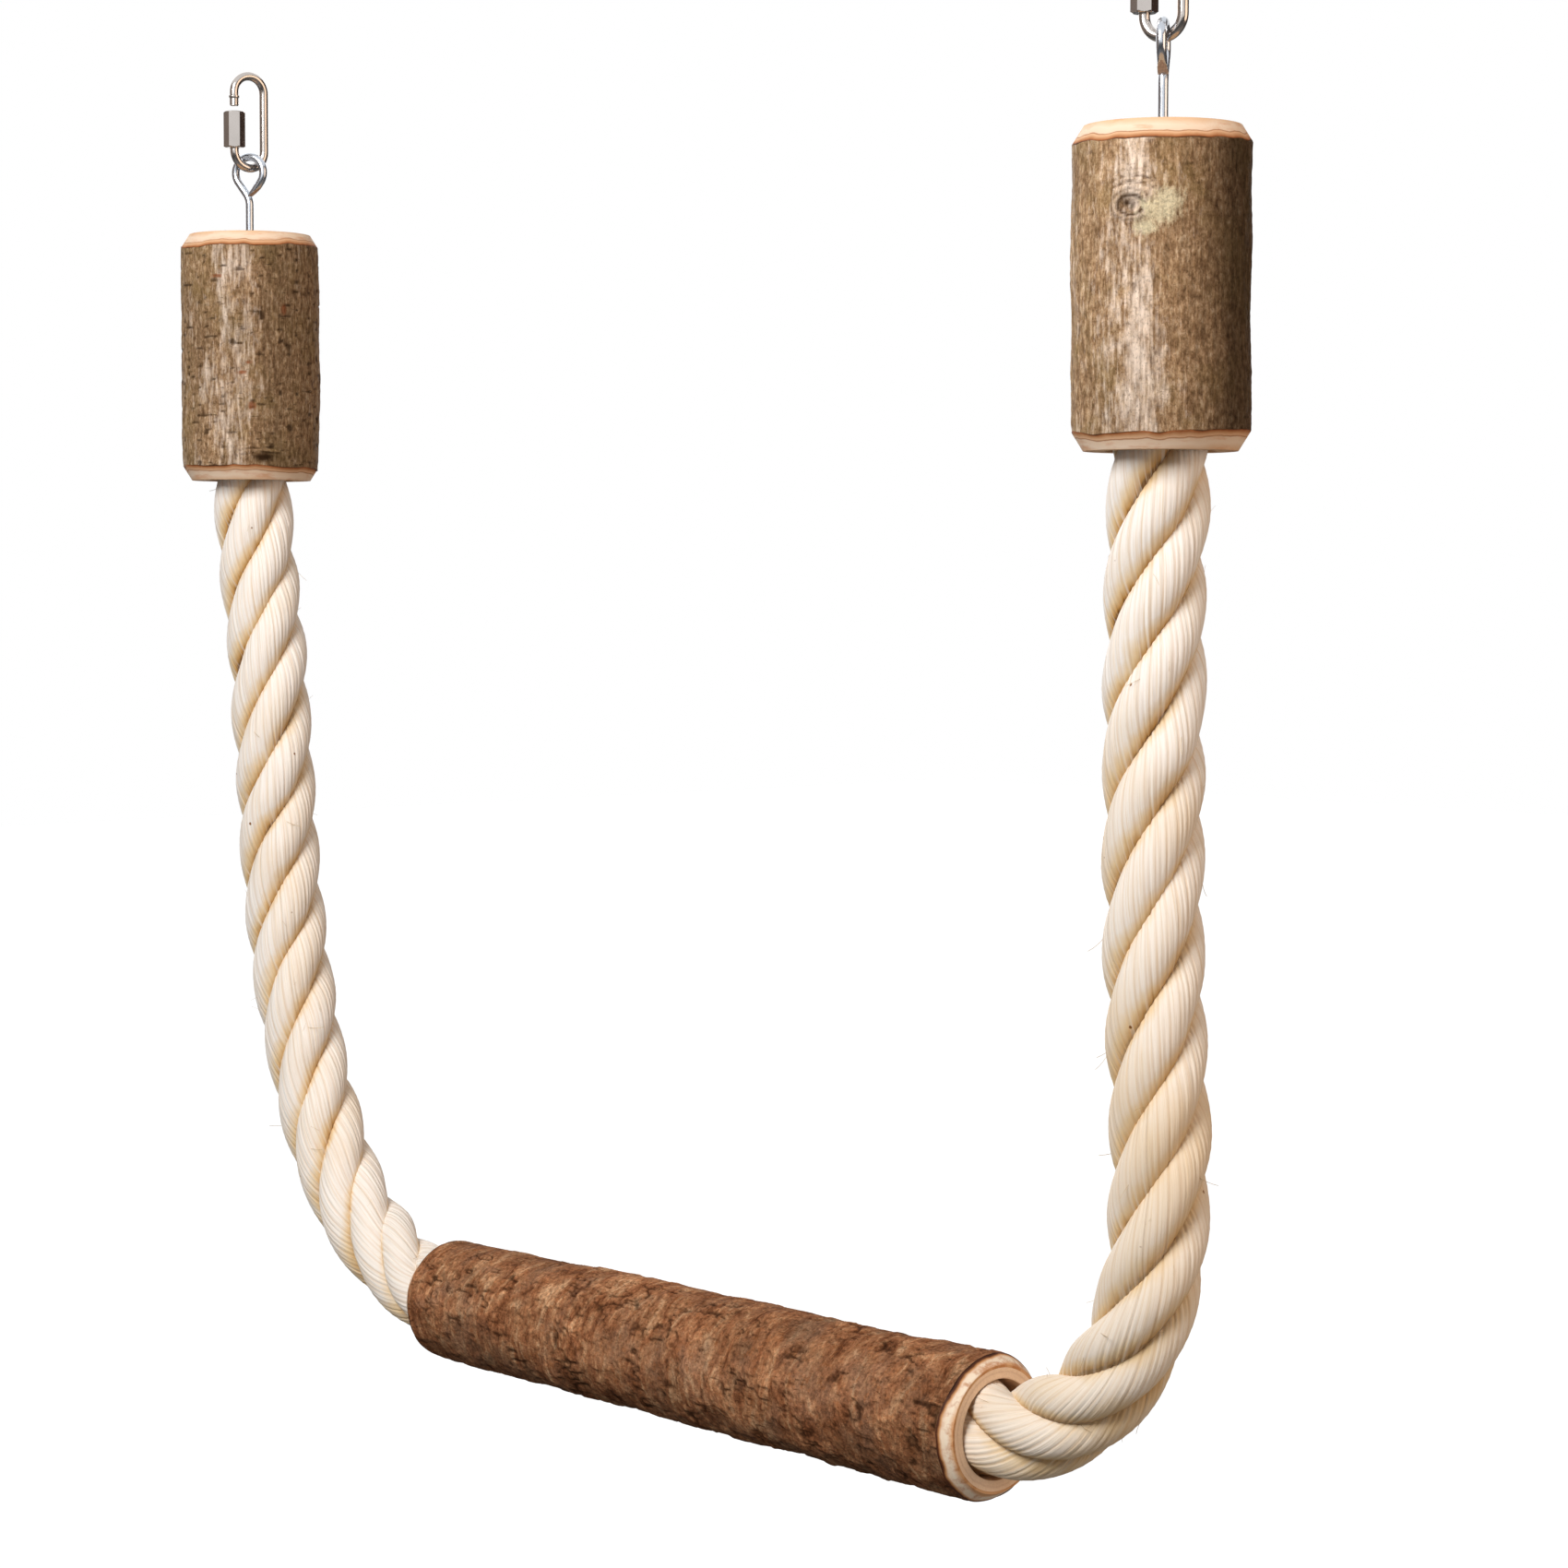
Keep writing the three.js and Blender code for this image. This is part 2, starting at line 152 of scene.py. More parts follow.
def linear(hex_colour):
    """An sRGB hex colour as linear RGBA."""
    channels = [int(hex_colour[i:i + 2], 16) / 255 for i in (1, 3, 5)]
    return [c / 12.92 if c <= 0.04045 else ((c + 0.055) / 1.055) ** 2.4 for c in channels] + [1.0]


def per_size(millimetres):
    """A texture's scale for a pattern whose features have that size."""
    return 1 / (millimetres * MM)


def set_inputs(tree, node, inputs):
    """Sets inputs to values, hex colours, sockets, or nodes, which give their Fac or else their first output."""
    for name, value in inputs.items():
        if isinstance(value, bpy.types.Node):
            value = value.outputs.get("Fac") or next(socket for socket in value.outputs if socket.enabled)
        if isinstance(value, bpy.types.NodeSocket):
            tree.links.new(value, node.inputs[name])
        else:
            is_colour = isinstance(value, str) and value.startswith("#")
            node.inputs[name].default_value = linear(value) if is_colour else value


def add_node(tree, kind, inputs=None, stops=None, **settings):
    """Adds a node, with its settings, its inputs, and a ramp's stops as place and colour."""
    made = tree.nodes.new(kind)
    for name, value in settings.items():
        setattr(made, name, value)
    set_inputs(tree, made, inputs or {})
    if stops:
        elements = made.color_ramp.elements
        while len(elements) < len(stops):
            elements.new(0.5)
        for element, (place, colour) in zip(elements, stops):
            element.position = place
            element.color = linear(colour) if isinstance(colour, str) else colour
    return made


def new_finish(name):
    """A new material, with what adds a node to it and what sets its surface."""
    material = bpy.data.materials.new(name)
    material.use_nodes = True
    tree = material.node_tree
    return material, partial(add_node, tree), partial(set_inputs, tree, tree.nodes["Principled BSDF"])


def overlay(node, under, value, reach, shares, colour):
    """Lays a colour over another. Its share goes from the first to the last as a value crosses its reach."""
    share = node("ShaderNodeMapRange", {"Value": value, 1: reach[0], 2: reach[1], 3: shares[0], 4: shares[1]})
    return node("ShaderNodeMix", {0: share, 6: under, 7: colour}, data_type="RGBA")


def toned(node, under, value, reach, tones):
    """Darkens or lightens a colour. Its tone goes from the first to the last as a value crosses its reach."""
    tone = node("ShaderNodeMapRange", {"Value": value, 1: reach[0], 2: reach[1], 3: tones[0], 4: tones[1]})
    return node("ShaderNodeVectorMath", {0: under, "Scale": tone}, operation="SCALE")


# Properties


class RopeProperties(bpy.types.PropertyGroup):
    """Sizes and colours of the rope."""

    diameter: bpy.props.FloatProperty(
        name="Diameter", description="Across the rope's crowns", default=0.032, unit="LENGTH")
    strands: bpy.props.IntProperty(name="Strands", description="Strands laid together", default=4)
    lay: bpy.props.FloatProperty(
        name="Lay", description="Length in which a strand goes once round the rope", default=0.10855,
        unit="LENGTH")
    phase: bpy.props.FloatProperty(
        name="Phase", description="Turn of the strands at the left end", default=-0.25, subtype="ANGLE")
    strand_radius: bpy.props.FloatProperty(
        name="Strand radius", description="Radius of one strand", default=0.0078, unit="LENGTH")
    yarns: bpy.props.IntProperty(name="Yarns", description="Yarns that show round one strand", default=24)
    yarn_depth: bpy.props.FloatProperty(
        name="Yarn depth", description="Depth of the furrow between two yarns", default=0.00024, unit="LENGTH")
    yarn_twist: bpy.props.FloatProperty(
        name="Yarn twist", description="Turns of the yarns back round a strand for each turn of the lay",
        default=2.3)
    loose_fibres: bpy.props.FloatProperty(
        name="Loose fibres", description="Fibres that stand off, for each square metre of strand", default=1500)
    crown: bpy.props.FloatVectorProperty(
        name="Crown colour", description="Fibre on the crowns", size=4, subtype="COLOR",
        default=linear("#F9F0E7"))
    # The flank and furrow colours are partly painted shade: darker and more golden towards the furrows between
    # strands
    flank: bpy.props.FloatVectorProperty(
        name="Flank colour", description="Fibre on the flanks", size=4, subtype="COLOR",
        default=linear("#ECCFA3"))
    furrow: bpy.props.FloatVectorProperty(
        name="Furrow colour", description="Fibre between strands", size=4, subtype="COLOR",
        default=linear("#C2904F"))


class LogProperties(bpy.types.PropertyGroup):
    """Colours of the caps and the perch."""

    cap_wood: bpy.props.FloatVectorProperty(
        name="Cap wood", description="Wood at the caps' ends", size=4, subtype="COLOR", default=linear("#EBC398"))
    perch_wood: bpy.props.FloatVectorProperty(
        name="Perch wood", description="Wood at the perch's ends", size=4, subtype="COLOR",
        default=linear("#FBD8B6"))


class FittingProperties(bpy.types.PropertyGroup):
    """Sizes and colours of the links, nuts, eyes and screws."""

    link_wire: bpy.props.FloatProperty(
        name="Link rod", description="Diameter of the links' rod", default=0.0035, unit="LENGTH")
    eye_wire: bpy.props.FloatProperty(
        name="Eye wire", description="Diameter of the eyes' wire", default=0.0032, unit="LENGTH")
    thread_pitch: bpy.props.FloatProperty(
        name="Thread pitch", description="Pitch of the gate's thread", default=0.0007, unit="LENGTH")
    link_steel: bpy.props.FloatVectorProperty(
        name="Link steel", description="Steel of the links and nuts", size=4, subtype="COLOR",
        default=linear("#CBC4BF"))
    zinc: bpy.props.FloatVectorProperty(
        name="Zinc", description="Plating of the eyes and screws", size=4, subtype="COLOR",
        default=linear("#CDD3DC"))


class StageProperties(bpy.types.PropertyGroup):
    """The camera and the light."""

    lens: bpy.props.FloatProperty(name="Lens", description="Focal length", default=85.08, unit="CAMERA")
    azimuth: bpy.props.FloatProperty(
        name="Azimuth", description="Camera's turn round the swing", default=math.radians(48.0), subtype="ANGLE")
    pitch: bpy.props.FloatProperty(
        name="Pitch", description="How far the camera looks down", default=math.radians(3.2), subtype="ANGLE")
    roll: bpy.props.FloatProperty(
        name="Roll", description="Camera's roll", default=math.radians(0.09), subtype="ANGLE")
    key: bpy.props.FloatProperty(name="Key", description="Main lamp", default=25.5, unit="POWER")
    fill: bpy.props.FloatProperty(name="Fill", description="Lamp on the shaded side", default=13.0, unit="POWER")
    rear: bpy.props.FloatProperty(name="Rear", description="Lamp behind the swing", default=6.0, unit="POWER")
    ambient: bpy.props.FloatProperty(name="Ambient", description="Light from all round", default=0.2)
    floor_drop: bpy.props.FloatProperty(
        name="Floor drop", description="Floor below the lowest point", default=0.7, unit="LENGTH")


# Meshes


def add_object(name, data):
    """Puts a mesh, curve, lamp or camera in the scene."""
    made = bpy.data.objects.new(name, data)
    bpy.context.scene.collection.objects.link(made)
    return made


def add_values(mesh, values):
    """Gives a mesh named values at its points."""
    for label, numbers in values.items():
        attribute = mesh.attributes.new(label, "FLOAT", "POINT")
        attribute.data.foreach_set("value", np.asarray(numbers, np.float32))


def new_piece(name, points, faces, materials, sharp=None, face_materials=None, values=None):
    """A closed mesh from points in millimetres, smooth but for the edges that bend by more than sharp degrees."""
    mesh = bpy.data.meshes.new(name)
    mesh.from_pydata((np.asarray(points) * MM).tolist(), [], faces)
    for material in materials:
        mesh.materials.append(material)
    if face_materials is not None:
        mesh.polygons.foreach_set("material_index", np.asarray(face_materials, np.int32))
    mesh.polygons.foreach_set("use_smooth", [True] * len(mesh.polygons))
    add_values(mesh, values or {})

    # Points that meet are merged, and all faces turn outwards
    shape = bmesh.new()
    shape.from_mesh(mesh)
    bmesh.ops.remove_doubles(shape, verts=shape.verts, dist=MERGE_GAP)
    bmesh.ops.recalc_face_normals(shape, faces=shape.faces)
    shape.to_mesh(mesh)
    shape.free()
    if sharp is not None:
        mesh.set_sharp_from_angle(angle=math.radians(sharp))
    return add_object(name, mesh)


def evaluated_mesh(piece):
    """A new mesh of what a piece's modifiers make of it."""
    return bpy.data.meshes.new_from_object(piece.evaluated_get(bpy.context.evaluated_depsgraph_get()))


def lathe(rings, around):
    """Rings of points round the upright axis, from radii and heights that may differ from angle to angle."""
    angles = np.arange(around) / around * TURN
    return np.concatenate([
        np.column_stack(np.broadcast_arrays(radius * np.cos(angles), radius * np.sin(angles), height))
        for radius, height in rings])


def ring_faces(rings, around, joined=False):
    """Quads between rings that follow each other. The last ring joins the first, or else both ends are closed."""
    faces = []
    for ring in range(rings if joined else rings - 1):
        here, there = ring * around, (ring + 1) % rings * around
        for i in range(around):
            j = (i + 1) % around
            faces.append((here + i, here + j, there + j, there + i))
    if not joined:
        faces += [tuple(range(around)), tuple(range((rings - 1) * around, rings * around))]
    return faces


def seat(piece, body, slot, *nodes):
    """Sets a finished piece on its body, for its CAD nodes. Its material slot is not used."""
    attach(piece, body)
    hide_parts(*nodes)


def bell(*offsets):
    """A smooth hump: 1 where every offset is 0, and almost 0 where one of them is 2."""
    return np.exp(-sum(offset ** 2 for offset in offsets))


def off_turn(degrees, centre):
    """How far round from a centre, from -180 to 180 degrees."""
    return (degrees - centre + 180) % 360 - 180


def lattice(u, v, cells_u, cells_v, seed):
    """Smooth noise from -1 to 1 that closes on itself along u. Both u and v run from 0 to 1."""
    values = np.random.default_rng(seed).uniform(-1, 1, (cells_u, cells_v + 2))
    x, y = u % 1 * cells_u, np.clip(v, 0, 1) * cells_v
    column, row = np.floor(x).astype(int), np.floor(y).astype(int)
    across, up = x - column, y - row
    across, up = across * across * (3 - 2 * across), up * up * (3 - 2 * up)
    left, right = column % cells_u, (column + 1) % cells_u
    low = values[left, row] * (1 - across) + values[right, row] * across
    high = values[left, row + 1] * (1 - across) + values[right, row + 1] * across
    return low * (1 - up) + high * up


# Rope


def catmull_rom(points, steps):
    """The centripetal Catmull-Rom curve through points, as the CAD model draws it."""
    ends = [2 * points[0] - points[1], *points, 2 * points[-1] - points[-2]]
    line = []
    for before, here, there, after in zip(ends, ends[1:], ends[2:], ends[3:]):
        gaps = [math.sqrt(np.linalg.norm(b - a)) for a, b in ((before, here), (here, there), (there, after))]
        leave = (here - before) / gaps[0] - (there - before) / (gaps[0] + gaps[1]) + (there - here) / gaps[1]
        arrive = (there - here) / gaps[1] - (after - here) / (gaps[1] + gaps[2]) + (after - there) / gaps[2]
        leave, arrive = leave * gaps[1], arrive * gaps[1]
        for t in np.arange(steps) / steps:
            bend = (2 * t - 3) * t * t * (here - there) + ((t - 2) * t + 1) * t * leave + (t - 1) * t * t * arrive
            line.append(here + bend)
    line.append(points[-1])
    return np.array(line)


class RopeLine:
    """The rope's centreline, and its length at each point of the route."""

    STEPS = 60

    def __init__(self, rope_radius):
        left = self.hang(-HANG_X, PERCH_LEFT, LEFT_HANG)
        right = self.hang(HANG_X, PERCH_RIGHT, RIGHT_HANG)[::-1]
        middle = (PERCH_LEFT + PERCH_RIGHT) / 2
        stops = (PERCH_LEFT, PERCH_LEFT + rope_radius, middle, PERCH_RIGHT - rope_radius, PERCH_RIGHT)
        route = np.array(left + [(x, PERCH_Z) for x in stops] + right)
        self.line = catmull_rom(route, self.STEPS)
        self.lengths = np.concatenate([[0], np.cumsum(np.linalg.norm(np.diff(self.line, axis=0), axis=1))])
        self.stations = self.lengths[::self.STEPS]
        self.mid_perch = self.stations[len(left) + 2]

    @staticmethod
    def hang(mouth_x, perch_x, shares):
        """One side of the route, from the rope's end in a cap down to the perch."""
        heights = (CAP_FOOT + CAP_BORE_DEPTH - ROPE_END_GAP, CAP_FOOT + CAP_BORE_DEPTH / 2, CAP_FOOT)
        drop = PERCH_Z - CAP_FOOT
        hanging = [(mouth_x + (perch_x - mouth_x) * a, CAP_FOOT + drop * d) for a, d in shares]
        return [(mouth_x, z) for z in heights] + hanging

    def at(self, lengths):
        """Points in the row frame at these lengths along the rope, run on straight past its ends."""
        lengths = np.asarray(lengths, float)
        x = np.interp(lengths, self.lengths, self.line[:, 0])
        z = np.interp(lengths, self.lengths, self.line[:, 1])
        beyond = np.maximum(-lengths, 0) + np.maximum(lengths - self.lengths[-1], 0)
        return np.stack([x, np.zeros_like(x), z + beyond], axis=1)


ROPE_INPUTS = {
    "NodeSocketFloat": (
        "Start", "Phase", "Lay", "Strand Offset", "Strand Radius", "Yarn Depth", "Yarn Twist", "Loose Fibres"),
    "NodeSocketInt": ("Strands", "Yarns", "Seed"),
}


def rope_tree(laid_fibre, loose_fibre):
    """Geometry nodes that lay strands round a path, give them yarns and let fibres stand off them."""
    tree = bpy.data.node_groups.new("laid_rope", "GeometryNodeTree")
    tree.interface.new_socket("Path", in_out="INPUT", socket_type="NodeSocketGeometry")
    for kind, labels in ROPE_INPUTS.items():
        for label in labels:
            tree.interface.new_socket(label, in_out="INPUT", socket_type=kind)
    tree.interface.new_socket("Rope", in_out="OUTPUT", socket_type="NodeSocketGeometry")
    node = partial(add_node, tree)
    given = node("NodeGroupInput").outputs

    # Each strand's angle round the path, and the way outwards there. The path lies in the XZ plane.
    copies = node(
        "GeometryNodeDuplicateElements", {"Geometry": given["Path"], "Amount": given["Strands"]}, domain="SPLINE")
    number = copies.outputs["Duplicate Index"]
    run = node("GeometryNodeSplineParameter").outputs["Length"]
    laid = node("ShaderNodeMath", {0: run, 1: given["Lay"]}, operation="DIVIDE")
    share = node("ShaderNodeMath", {0: number, 1: given["Strands"]}, operation="DIVIDE")
    turns = node("ShaderNodeMath", {0: laid, 1: share}, operation="ADD")
    even_angle = node("ShaderNodeMath", {0: turns, 1: TURN, 2: given["Phase"]}, operation="MULTIPLY_ADD")

    # No strand lies quite evenly: its angle and its girth drift along the rope
    along = node("ShaderNodeMath", {0: run, 1: given["Start"]}, operation="ADD")
    drift_place = node("ShaderNodeCombineXYZ", {"X": along, "Y": number})
    drift = node("ShaderNodeTexNoise", {"Vector": drift_place, "Scale": per_size(34), "Detail": 1})
    astray = node("ShaderNodeMapRange", {"Value": drift, 1: 0.25, 2: 0.75, 3: -0.13, 4: 0.13})
    angle = node("ShaderNodeMath", {0: even_angle, 1: astray}, operation="ADD")
    swell_share = node("FunctionNodeSeparateColor", {"Color": drift.outputs["Color"]})
    girth = node("ShaderNodeMapRange", {"Value": swell_share.outputs[1], 1: 0.25, 2: 0.75, 3: 0.95, 4: 1.03})
    cosine = node("ShaderNodeMath", {0: angle}, operation="COSINE")
    sine = node("ShaderNodeMath", {0: angle}, operation="SINE")
    tangent = node("GeometryNodeInputTangent")
    side = node("ShaderNodeVectorMath", {0: (0, 1, 0), 1: tangent}, operation="CROSS_PRODUCT")
    sideways = node("ShaderNodeVectorMath", {0: side, "Scale": cosine}, operation="SCALE")
    backwards = node("ShaderNodeVectorMath", {0: (0, 1, 0), "Scale": sine}, operation="SCALE")
    outward = node("ShaderNodeVectorMath", {0: sideways, 1: backwards}, operation="ADD")
    unlaid = node("ShaderNodeMath", {0: angle, 1: given["Yarn Twist"]}, operation="MULTIPLY")
    twist = node("ShaderNodeMath", {0: 0.0, 1: unlaid}, operation="SUBTRACT")
    place = node("GeometryNodeInputPosition")
    geometry = copies
    for label, kind, value in (
        ("axis", "FLOAT_VECTOR", place), ("outward", "FLOAT_VECTOR", outward), ("along", "FLOAT", along),
        ("strand", "FLOAT", number), ("twist", "FLOAT", twist), ("girth", "FLOAT", girth),
    ):
        geometry = node(
            "GeometryNodeStoreNamedAttribute", {"Geometry": geometry, "Name": label, "Value": value},
            data_type=kind, domain="POINT")
    axis, way_out = (
        node("GeometryNodeInputNamedAttribute", {"Name": label}, data_type="FLOAT_VECTOR")
        for label in ("axis", "outward"))
    turn_back, plump, crown_height = (
        node("GeometryNodeInputNamedAttribute", {"Name": label}, data_type="FLOAT")
        for label in ("twist", "girth", "crown"))
    offset = node("ShaderNodeVectorMath", {0: way_out, "Scale": given["Strand Offset"]}, operation="SCALE")
    wound = node("GeometryNodeSetPosition", {"Geometry": geometry, "Offset": offset})
    framed = node("GeometryNodeSetCurveNormal", {"Curve": wound, "Normal": way_out}, mode="FREE")
    tilted = node("GeometryNodeSetCurveTilt", {"Curve": framed, "Tilt": turn_back})

    # A strand's outline: a circle with a furrow between each two yarns
    points = node("ShaderNodeMath", {0: given["Yarns"], 1: 5}, operation="MULTIPLY")
    circle = node("GeometryNodeCurvePrimitiveCircle", {"Resolution": points, "Radius": given["Strand Radius"]})
    round_share = node("GeometryNodeSplineParameter").outputs["Factor"]
    marked = node(
        "GeometryNodeStoreNamedAttribute", {"Geometry": circle, "Name": "around", "Value": round_share},
        data_type="FLOAT", domain="POINT")
    half_turns = node("ShaderNodeMath", {0: given["Yarns"], 1: math.pi}, operation="MULTIPLY")
    wave = node("ShaderNodeMath", {0: round_share, 1: half_turns}, operation="MULTIPLY")
    swell = node("ShaderNodeMath", {0: wave}, operation="SINE")
    lobe = node("ShaderNodeMath", {0: swell}, operation="ABSOLUTE")
    dip = node("ShaderNodeMath", {0: lobe, 1: 1}, operation="SUBTRACT")
    yarn_place = node("ShaderNodeMath", {0: round_share, 1: given["Yarns"]}, operation="MULTIPLY")
    yarn = node("ShaderNodeMath", {0: yarn_place, 1: 0.5}, operation="ADD")
    groove = node("ShaderNodeMath", {0: yarn}, operation="FLOOR")
    uneven = node("FunctionNodeRandomValue", {2: 0.1, 3: 1.6, "ID": groove, "Seed": 7}, data_type="FLOAT")
    own_depth = node("ShaderNodeMath", {0: given["Yarn Depth"], 1: uneven}, operation="MULTIPLY")
    depth = node("ShaderNodeMath", {0: own_depth, 1: given["Strand Radius"]}, operation="DIVIDE")
    scale = node("ShaderNodeMath", {0: dip, 1: depth, 2: 1}, operation="MULTIPLY_ADD")
    furrowed = node("ShaderNodeVectorMath", {0: place, "Scale": scale}, operation="SCALE")
    outline = node("GeometryNodeSetPosition", {"Geometry": marked, "Position": furrowed})
    tubes = node("GeometryNodeCurveToMesh", {"Curve": tilted, "Profile Curve": outline, "Scale": plump})
    strands = node("GeometryNodeSetShadeSmooth", {"Geometry": tubes})

    # How far out each point is: 0 in the furrow between strands, 1 on a crown
    reach = node("ShaderNodeVectorMath", {0: place, 1: axis}, operation="DISTANCE")
    crest = node("ShaderNodeMath", {0: given["Strand Offset"], 1: given["Strand Radius"]}, operation="ADD")
    furrow = node("ShaderNodeMath", {0: crest, 1: 0.69}, operation="MULTIPLY")
    crown = node("ShaderNodeMapRange", {"Value": reach, 1: furrow, 2: crest})

    # How far each point lies below the middle of its strand, as a share of the strand's radius. The fibre's
    # material paints shade on the undersides with it.
    middle = node("ShaderNodeVectorMath", {0: axis, 1: offset}, operation="ADD")
    under = node("ShaderNodeVectorMath", {0: middle, 1: place}, operation="SUBTRACT")
    drop = node("ShaderNodeSeparateXYZ", {0: under})
    below = node("ShaderNodeMath", {0: drop.outputs["Z"], 1: given["Strand Radius"]}, operation="DIVIDE")
    for label, value in (("crown", crown), ("below", below)):
        strands = node(
            "GeometryNodeStoreNamedAttribute", {"Geometry": strands, "Name": label, "Value": value},
            data_type="FLOAT", domain="POINT")

    # Loose fibres on the crowns, each a thin bent thread
    outside = node("FunctionNodeCompare", {0: crown_height, 1: 0.45}, data_type="FLOAT", operation="GREATER_THAN")
    roots = node(
        "GeometryNodeDistributePointsOnFaces",
        {"Mesh": strands, "Selection": outside, "Density": given["Loose Fibres"], "Seed": given["Seed"]})
    bow = node(
        "GeometryNodeCurveQuadraticBezier",
        {"Resolution": 4, "Start": (0, 0, -0.0002), "Middle": (0.0034, 0, 0.0004),
         "End": (0.0062, 0.0008, 0.0022)})
    hair = node("GeometryNodeCurvePrimitiveCircle", {"Resolution": 3, "Radius": 0.00008})
    thread = node("GeometryNodeCurveToMesh", {"Curve": bow, "Profile Curve": hair})
    spin = node("FunctionNodeRandomValue", {2: 0.0, 3: TURN, "Seed": given["Seed"]}, data_type="FLOAT")
    about = node("FunctionNodeAxisAngleToRotation", {"Axis": (0, 0, 1), "Angle": spin})
    turned = node(
        "FunctionNodeRotateRotation", {"Rotation": roots.outputs["Rotation"], "Rotate By": about},
        rotation_space="LOCAL")
    growth = node("FunctionNodeRandomValue", {2: 0.4, 3: 1.25, "Seed": given["Seed"]}, data_type="FLOAT")
    standing = node(
        "GeometryNodeInstanceOnPoints",
        {"Points": roots, "Instance": thread, "Rotation": turned, "Scale": growth})
    hairs = node("GeometryNodeRealizeInstances", {"Geometry": standing})
    laid_look = node("GeometryNodeSetMaterial", {"Geometry": strands, "Material": laid_fibre})
    loose_look = node("GeometryNodeSetMaterial", {"Geometry": hairs, "Material": loose_fibre})
    whole = node("GeometryNodeJoinGeometry", {0: laid_look})
    set_inputs(tree, whole, {0: loose_look})
    node("NodeGroupOutput", {0: whole})
    return tree


def lay_strands(name, points, tree, values):
    """The mesh that the rope's nodes make of a path through these points."""
    curve = bpy.data.curves.new(name, "CURVE")
    curve.dimensions = "3D"
    spline = curve.splines.new("POLY")
    spline.points.add(len(points) - 1)
    spline.points.foreach_set("co", np.column_stack([points, np.ones(len(points))]).ravel())
    carrier = add_object(name + "_path", curve)
    modifier = carrier.modifiers.new("laid_rope", "NODES")
    modifier.node_group = tree
    for socket in tree.interface.items_tree:
        if socket.in_out == "INPUT" and socket.name in values:
            modifier[socket.identifier] = values[socket.name]
    mesh = evaluated_mesh(carrier)
    mesh.name = name
    carrier.modifiers.remove(modifier)
    bpy.data.objects.remove(carrier)
    return mesh


def rope_piece(name, line, start, end, tree, rope, seed):
    """One stretch of the rope as a plain mesh. Its shading runs on past both ends, so that no seam shows."""
    steps = round((end - start) / ROPE_STEP)
    stretch = np.linspace(start, end, steps + 1)
    step = stretch[1] - stretch[0]
    lengths = np.concatenate([
        start - step * np.arange(SEAM_STEPS, 0, -1), stretch, end + step * np.arange(1, SEAM_STEPS + 1)])
    mesh = lay_strands(name, line.at(lengths) * MM, tree, {
        "Start": float(lengths[0] * MM),
        "Phase": rope.phase + TURN * float(lengths[0] * MM) / rope.lay,
        "Lay": rope.lay,
        "Strands": rope.strands,
        "Strand Offset": rope.diameter / 2 - rope.strand_radius,
        "Strand Radius": rope.strand_radius,
        "Yarns": rope.yarns,
        "Yarn Depth": rope.yarn_depth,
        "Yarn Twist": rope.yarn_twist,
        "Loose Fibres": rope.loose_fibres,
        "Seed": seed,
    })
    normals = np.empty(len(mesh.vertices) * 3, np.float32)
    mesh.vertex_normals.foreach_get("vector", normals)
    mesh.attributes.new("shading", "FLOAT_VECTOR", "POINT").data.foreach_set("vector", normals)

    # What runs on past the ends is cut off, and the strands are closed there
    shape = bmesh.new()
    shape.from_mesh(mesh)
    along = shape.verts.layers.float["along"]
    low, high = (start - step / 2) * MM, (end + step / 2) * MM
    outside = [v for v in shape.verts if not low < v[along] < high]
    bmesh.ops.delete(shape, geom=outside, context="VERTS")
    rims = [
        edge for edge in shape.edges
        if edge.is_boundary and abs(edge.verts[0][along] - edge.verts[1][along]) < SAME_LENGTH]
    bmesh.ops.holes_fill(shape, edges=rims, sides=0)
    shape.to_mesh(mesh)
    shape.free()
    normals = np.empty(len(mesh.vertices) * 3, np.float32)
    mesh.attributes["shading"].data.foreach_get("vector", normals)
    for label in ("shading", "axis", "outward", "twist", "girth"):
        mesh.attributes.remove(mesh.attributes[label])
    mesh.normals_split_custom_set_from_vertices(normals.reshape(-1, 3).tolist())
    return add_object(name, mesh)


